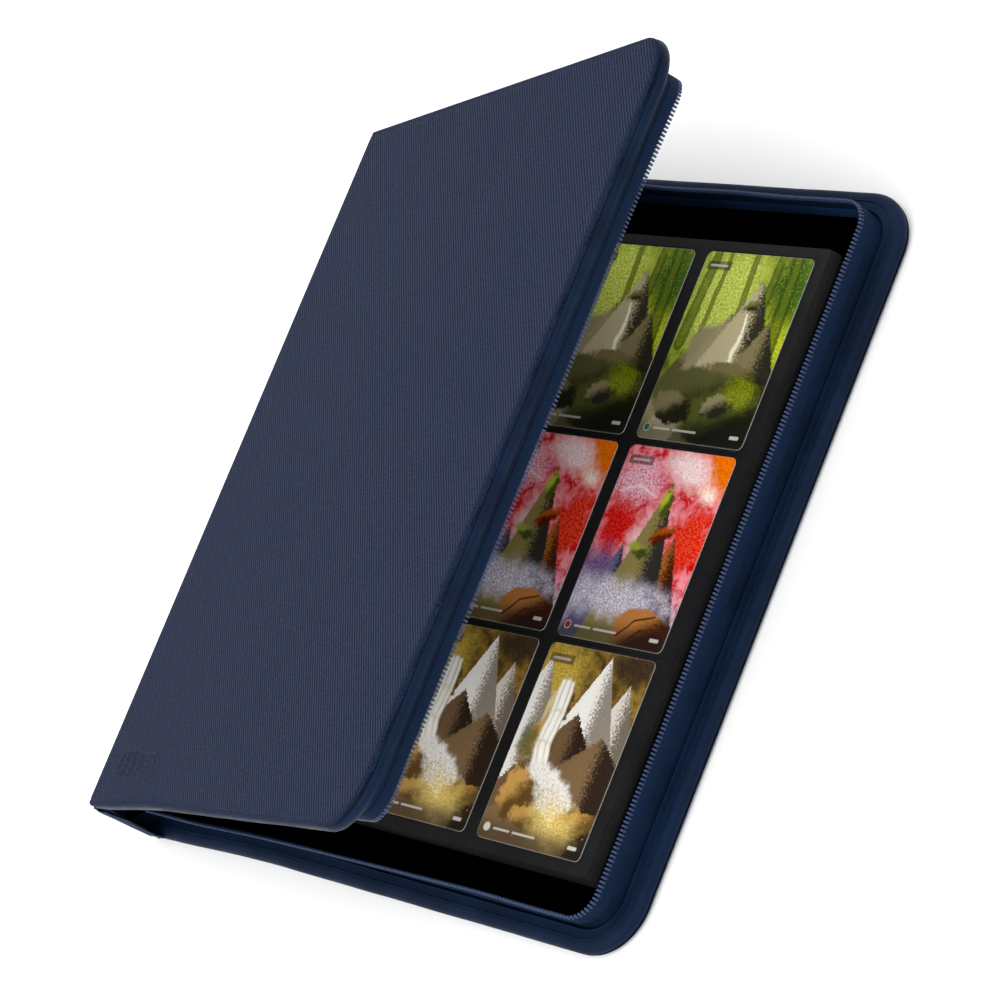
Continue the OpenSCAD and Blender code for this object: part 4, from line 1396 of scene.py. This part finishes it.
def make_pockets():
    """Weld lines round the pockets of the top leaf, and the clear film over them."""
    high = box("pocket_film")[1]
    level = box("leaf_01")[1].z - 0.32
    bm = bmesh.new()
    for card_low, card_high in pocket_boxes():
        bmesh.ops.create_grid(bm, x_segments=1, y_segments=1, size=0.5, matrix=Matrix.Translation(
            ((card_low.x + card_high.x) / 2, (card_low.y + card_high.y) / 2, level + 0.26))
            @ Matrix.Diagonal((card_high.x - card_low.x + 2.5, card_high.y - card_low.y + 2.5, 1,
                1)))
    faces = bm.faces[:]
    bmesh.ops.inset_individual(bm, faces=faces, thickness=0.55, depth=0.0, use_even_offset=True)
    bmesh.ops.delete(bm, geom=faces, context="FACES")
    out = bmesh.ops.extrude_face_region(bm, geom=bm.faces[:])["geom"]
    bmesh.ops.translate(bm, vec=(0, 0, -0.3), verts=only(BMVert, out))
    bmesh.ops.recalc_face_normals(bm, faces=bm.faces)
    build(bm, "pocket_welds", "leaf_top", ["page_film"])
    bm = bmesh.new()
    for card_low, card_high in pocket_boxes():
        bmesh.ops.create_grid(bm, x_segments=6, y_segments=8, size=0.5, matrix=Matrix.Translation(
            ((card_low.x + card_high.x) / 2, (card_low.y + card_high.y) / 2, 0))
            @ Matrix.Diagonal((card_high.x - card_low.x + 2.2, card_high.y - card_low.y + 2.2, 1,
                1)))
    for v in bm.verts:
        inside = min(min(min(v.co.x - a.x, b.x - v.co.x), min(v.co.y - a.y, b.y - v.co.y))
                     for a, b in pocket_boxes()
                     if a.x - 2 < v.co.x < b.x + 2 and a.y - 2 < v.co.y < b.y + 2)
        v.co.z = high.z - (0.1 if inside < 0.5 else 0.0) + soft_wave(v.co, 0.05, 0.05, 4.4)
    build(bm, "clear_pockets", "leaf_top", ["clear_film"], "back", ["pocket_film"])


def make_cards():
    pictures = {"1": "card_forest", "2": "card_storm", "3": "card_mountain"}
    for row in "123":
        for column in "abcd":
            node = "card_" + row + column
            low, high = box(node)
            bm = bmesh.new()
            bmesh.ops.create_grid(bm, x_segments=1, y_segments=1, size=0.5,
                matrix=Matrix.Translation(
                ((low.x + high.x) / 2, (low.y + high.y) / 2, high.z))
                @ Matrix.Diagonal((high.x - low.x, high.y - low.y, 1, 1)))
            bmesh.ops.bevel(bm, geom=bm.verts[:], offset=sizes_mm("card_corner"),
                            offset_type="OFFSET", segments=8, profile=0.5, affect="VERTICES",
                            material=-1)
            out = bmesh.ops.extrude_face_region(bm, geom=bm.faces[:])["geom"]
            bmesh.ops.translate(bm, vec=(0, 0, low.z - high.z), verts=only(BMVert, out))
            bmesh.ops.recalc_face_normals(bm, faces=bm.faces)
            uv = bm.loops.layers.uv.new("art")
            for f in bm.faces:
                f.material_index = 0 if f.normal.z > 0.5 else (2 if f.normal.z < -0.5 else 1)
                for loop in f.loops:
                    loop[uv].uv = ((loop.vert.co.x - low.x) / (high.x - low.x),
                                   (loop.vert.co.y - low.y) / (high.y - low.y))
            build(bm, "printed_" + node, "leaf_top",
                  [pictures[row], "card_stock", "card_back"], "back", [node], smooth=False)


def make_emblem():
    """A small pressed mark on the front cover: five card outlines side by side."""
    bm = bmesh.new()
    z = 0.02
    for x in (-133.0, -123.5, -114.0, -104.5, -95.0):
        turn = Matrix.Translation((x, 152.0, z)) @ Matrix.Diagonal((7.4, 11.0, 1, 1))
        made = bmesh.ops.create_grid(bm, x_segments=1, y_segments=1, size=0.5,
            matrix=turn)["verts"]
        bmesh.ops.bevel(bm, geom=made, offset=1.3, offset_type="OFFSET", segments=4, profile=0.5,
                        affect="VERTICES", material=-1)
    faces = bm.faces[:]
    bmesh.ops.inset_individual(bm, faces=faces, thickness=0.6, depth=0.0, use_even_offset=True)
    bmesh.ops.delete(bm, geom=faces, context="FACES")
    out = bmesh.ops.extrude_face_region(bm, geom=bm.faces[:])["geom"]
    bmesh.ops.translate(bm, vec=(0, 0, -0.16), verts=only(BMVert, out))
    bmesh.ops.recalc_face_normals(bm, faces=bm.faces)
    build(bm, "front_emblem", "front", ["emboss"], "front")


# ---- operators ----


class BINDER_OT_covers(bpy.types.Operator):
    """Build the ribbed skins, folded round to the middle of the spine"""

    bl_idname = "binder.covers"
    bl_label = "Covers"

    def execute(self, context):
        for half in ("back", "front"):
            make_cover(half)
            make_edge_stitches(half)
        return {"FINISHED"}


class BINDER_OT_linings(bpy.types.Operator):
    """Build the black linings"""

    bl_idname = "binder.linings"
    bl_label = "Linings"

    def execute(self, context):
        for half in ("back", "front"):
            make_lining_sheet(half)
        return {"FINISHED"}


class BINDER_OT_boards(bpy.types.Operator):
    """Give the boards inside the covers their raw board finish"""

    bl_idname = "binder.boards"
    bl_label = "Boards"

    def execute(self, context):
        for node in ("back_board", "front_board", "spine_board"):
            o = frame["nodes"][node]
            o.data.materials.clear()
            o.data.materials.append(finish_of("board"))
        return {"FINISHED"}


class BINDER_OT_rims(bpy.types.Operator):
    """Build the padded rims round the zip sides"""

    bl_idname = "binder.rims"
    bl_label = "Padded rims"

    def execute(self, context):
        for half in ("back", "front"):
            make_rim(half)
        return {"FINISHED"}


class BINDER_OT_zip_walls(bpy.types.Operator):
    """Build the walls that carry the zip, their tapes and the corner gussets"""

    bl_idname = "binder.zip_walls"
    bl_label = "Zip walls"

    def execute(self, context):
        for half in ("back", "front"):
            make_wall(half)
            make_tape(half)
        make_gussets()
        return {"FINISHED"}


class BINDER_OT_zip_teeth(bpy.types.Operator):
    """Build the teeth of both halves of the zip"""

    bl_idname = "binder.zip_teeth"
    bl_label = "Zip teeth"

    def execute(self, context):
        for half in ("back", "front"):
            make_zip_teeth(half)
        return {"FINISHED"}


class BINDER_OT_end_tabs(bpy.types.Operator):
    """Build the woven tabs at the ends of the spine"""

    bl_idname = "binder.end_tabs"
    bl_label = "End tabs"

    def execute(self, context):
        make_spine_ends()
        return {"FINISHED"}


class BINDER_OT_slider(bpy.types.Operator):
    """Build the slider and its pull"""

    bl_idname = "binder.slider"
    bl_label = "Slider and pull"

    def execute(self, context):
        make_slider()
        return {"FINISHED"}


class BINDER_OT_leaves(bpy.types.Operator):
    """Build the leaves and the strip that binds them"""

    bl_idname = "binder.leaves"
    bl_label = "Leaves"

    def execute(self, context):
        make_leaves()
        make_binding()
        return {"FINISHED"}


class BINDER_OT_pockets(bpy.types.Operator):
    """Build the pocket welds and clear film of the top leaf"""

    bl_idname = "binder.pockets"
    bl_label = "Pockets"

    def execute(self, context):
        make_pockets()
        return {"FINISHED"}


class BINDER_OT_cards(bpy.types.Operator):
    """Build the twelve printed cards"""

    bl_idname = "binder.cards"
    bl_label = "Cards"

    def execute(self, context):
        make_cards()
        return {"FINISHED"}


class BINDER_OT_emblem(bpy.types.Operator):
    """Press a small mark into the front cover"""

    bl_idname = "binder.emblem"
    bl_label = "Emblem"

    def execute(self, context):
        make_emblem()
        return {"FINISHED"}


class BINDER_OT_stage(bpy.types.Operator):
    """Set the floor, the lights and the camera"""

    bl_idname = "binder.stage"
    bl_label = "Stage"

    def execute(self, context):
        scene = context.scene
        scene.view_settings.view_transform = "Standard"
        bm = bmesh.new()
        bmesh.ops.create_grid(bm, x_segments=2, y_segments=2, size=6.0)
        bmesh.ops.translate(bm, vec=(0, 0, -0.0004), verts=bm.verts)
        mesh = bpy.data.meshes.new("floor")
        bm.to_mesh(mesh)
        bm.free()
        floor = bpy.data.objects.new("floor", mesh)
        scene.collection.objects.link(floor)
        m, t, s = material("pale_floor")
        finish_shader(t, s, mix(t, cloud(t, object_place(t), 2.0), (0.88, 0.88, 0.88, 1),
                                (0.9, 0.9, 0.9, 1)), 0.9, Specular_IOR_Level=0.1)
        mesh.materials.append(m)
        world = bpy.data.worlds.new("studio")
        world.use_nodes = True
        world.node_tree.nodes["Background"].inputs[0].default_value = (1, 1, 1, 1)
        tree = world.node_tree
        above = put(tree, "ShaderNodeSeparateXYZ", {0: put(tree, "ShaderNodeTexCoord").outputs[0]})
        tree.links.new(ease(tree, above.outputs[2], 0.0, 0.7, 0.6, 1.2),
                       tree.nodes["Background"].inputs[1])
        scene.world = world
        for name, energy, spot, aim, width in (
                ("key", 30.0, (-0.5, -0.7, 2.6), (0, 0, 0.05), 2.6),
                ("side", 12.0, (1.9, 0.9, 2.0), (0.05, 0, 0.05), 2.0),
                ("front", 18.0, (0.7, -1.9, 1.3), (0, 0.05, 0.03), 1.2),
                ("back", 8.0, (-0.4, 2.0, 2.0), (0, 0, 0.05), 2.0)):
            lamp = bpy.data.lights.new(name, "AREA")
            lamp.energy, lamp.size = energy, width
            o = bpy.data.objects.new(name, lamp)
            o.location = spot
            o.rotation_euler = (Vector(aim) - Vector(spot)).to_track_quat("-Z", "Y").to_euler()
            scene.collection.objects.link(o)
        look = Vector((-0.742125, 0.199023, -0.640031)).normalized()
        up = Vector((-0.106666, 0.907660, 0.405925)).normalized()
        right = look.cross(up).normalized()
        up = right.cross(look).normalized()
        view = bpy.data.cameras.new("camera")
        view.lens, view.sensor_width, view.sensor_fit = 133.95, 36.0, "HORIZONTAL"
        view.clip_start, view.clip_end = 0.05, 30.0
        camera = bpy.data.objects.new("camera", view)
        camera.matrix_world = Matrix.Translation((1.20520, -0.31568, 1.05718)) @ Matrix(
            (right, up, -look)).transposed().to_4x4()
        scene.collection.objects.link(camera)
        scene.camera = camera
        return {"FINISHED"}


OPERATORS = (
    BINDER_OT_covers, BINDER_OT_linings, BINDER_OT_boards, BINDER_OT_rims, BINDER_OT_zip_walls,
    BINDER_OT_zip_teeth, BINDER_OT_end_tabs, BINDER_OT_slider, BINDER_OT_leaves,
    BINDER_OT_pockets, BINDER_OT_cards, BINDER_OT_emblem, BINDER_OT_stage)


class BINDER_PT_panel(bpy.types.Panel):
    """Lists the binder's pieces and settings"""

    bl_idname = "BINDER_PT_panel"
    bl_label = "Trading Card Binder"
    bl_space_type = "VIEW_3D"
    bl_region_type = "UI"
    bl_category = "Binder"

    def draw(self, context):
        column = self.layout.column(align=True)
        for operator in OPERATORS:
            column.operator(operator.bl_idname)
        for settings in (context.scene.binder_sizes, context.scene.binder_colours):
            for key in settings.__annotations__:
                column.prop(settings, key)


CLASSES = (BinderSizes, BinderColours, *OPERATORS, BINDER_PT_panel)


def register():
    for cls in CLASSES:
        bpy.utils.register_class(cls)
    bpy.types.Scene.binder_sizes = bpy.props.PointerProperty(type=BinderSizes)
    bpy.types.Scene.binder_colours = bpy.props.PointerProperty(type=BinderColours)


def unregister():
    del bpy.types.Scene.binder_colours
    del bpy.types.Scene.binder_sizes
    for cls in reversed(CLASSES):
        bpy.utils.unregister_class(cls)


def make_shader_groups():
    for make in (make_rib_group, make_grain_group, make_weave_group, make_speckle_group,
                 make_blob_group, make_stroke_group, make_trim_group):
        make()


def main():
    register()
    make_shader_groups()
    bpy.ops.binder.covers()
    bpy.ops.binder.linings()
    bpy.ops.binder.boards()
    bpy.ops.binder.rims()
    bpy.ops.binder.zip_walls()
    bpy.ops.binder.zip_teeth()
    bpy.ops.binder.end_tabs()
    bpy.ops.binder.slider()
    bpy.ops.binder.leaves()
    bpy.ops.binder.pockets()
    bpy.ops.binder.cards()
    bpy.ops.binder.emblem()
    bpy.ops.binder.stage()


if __name__ == "__main__":
    main()
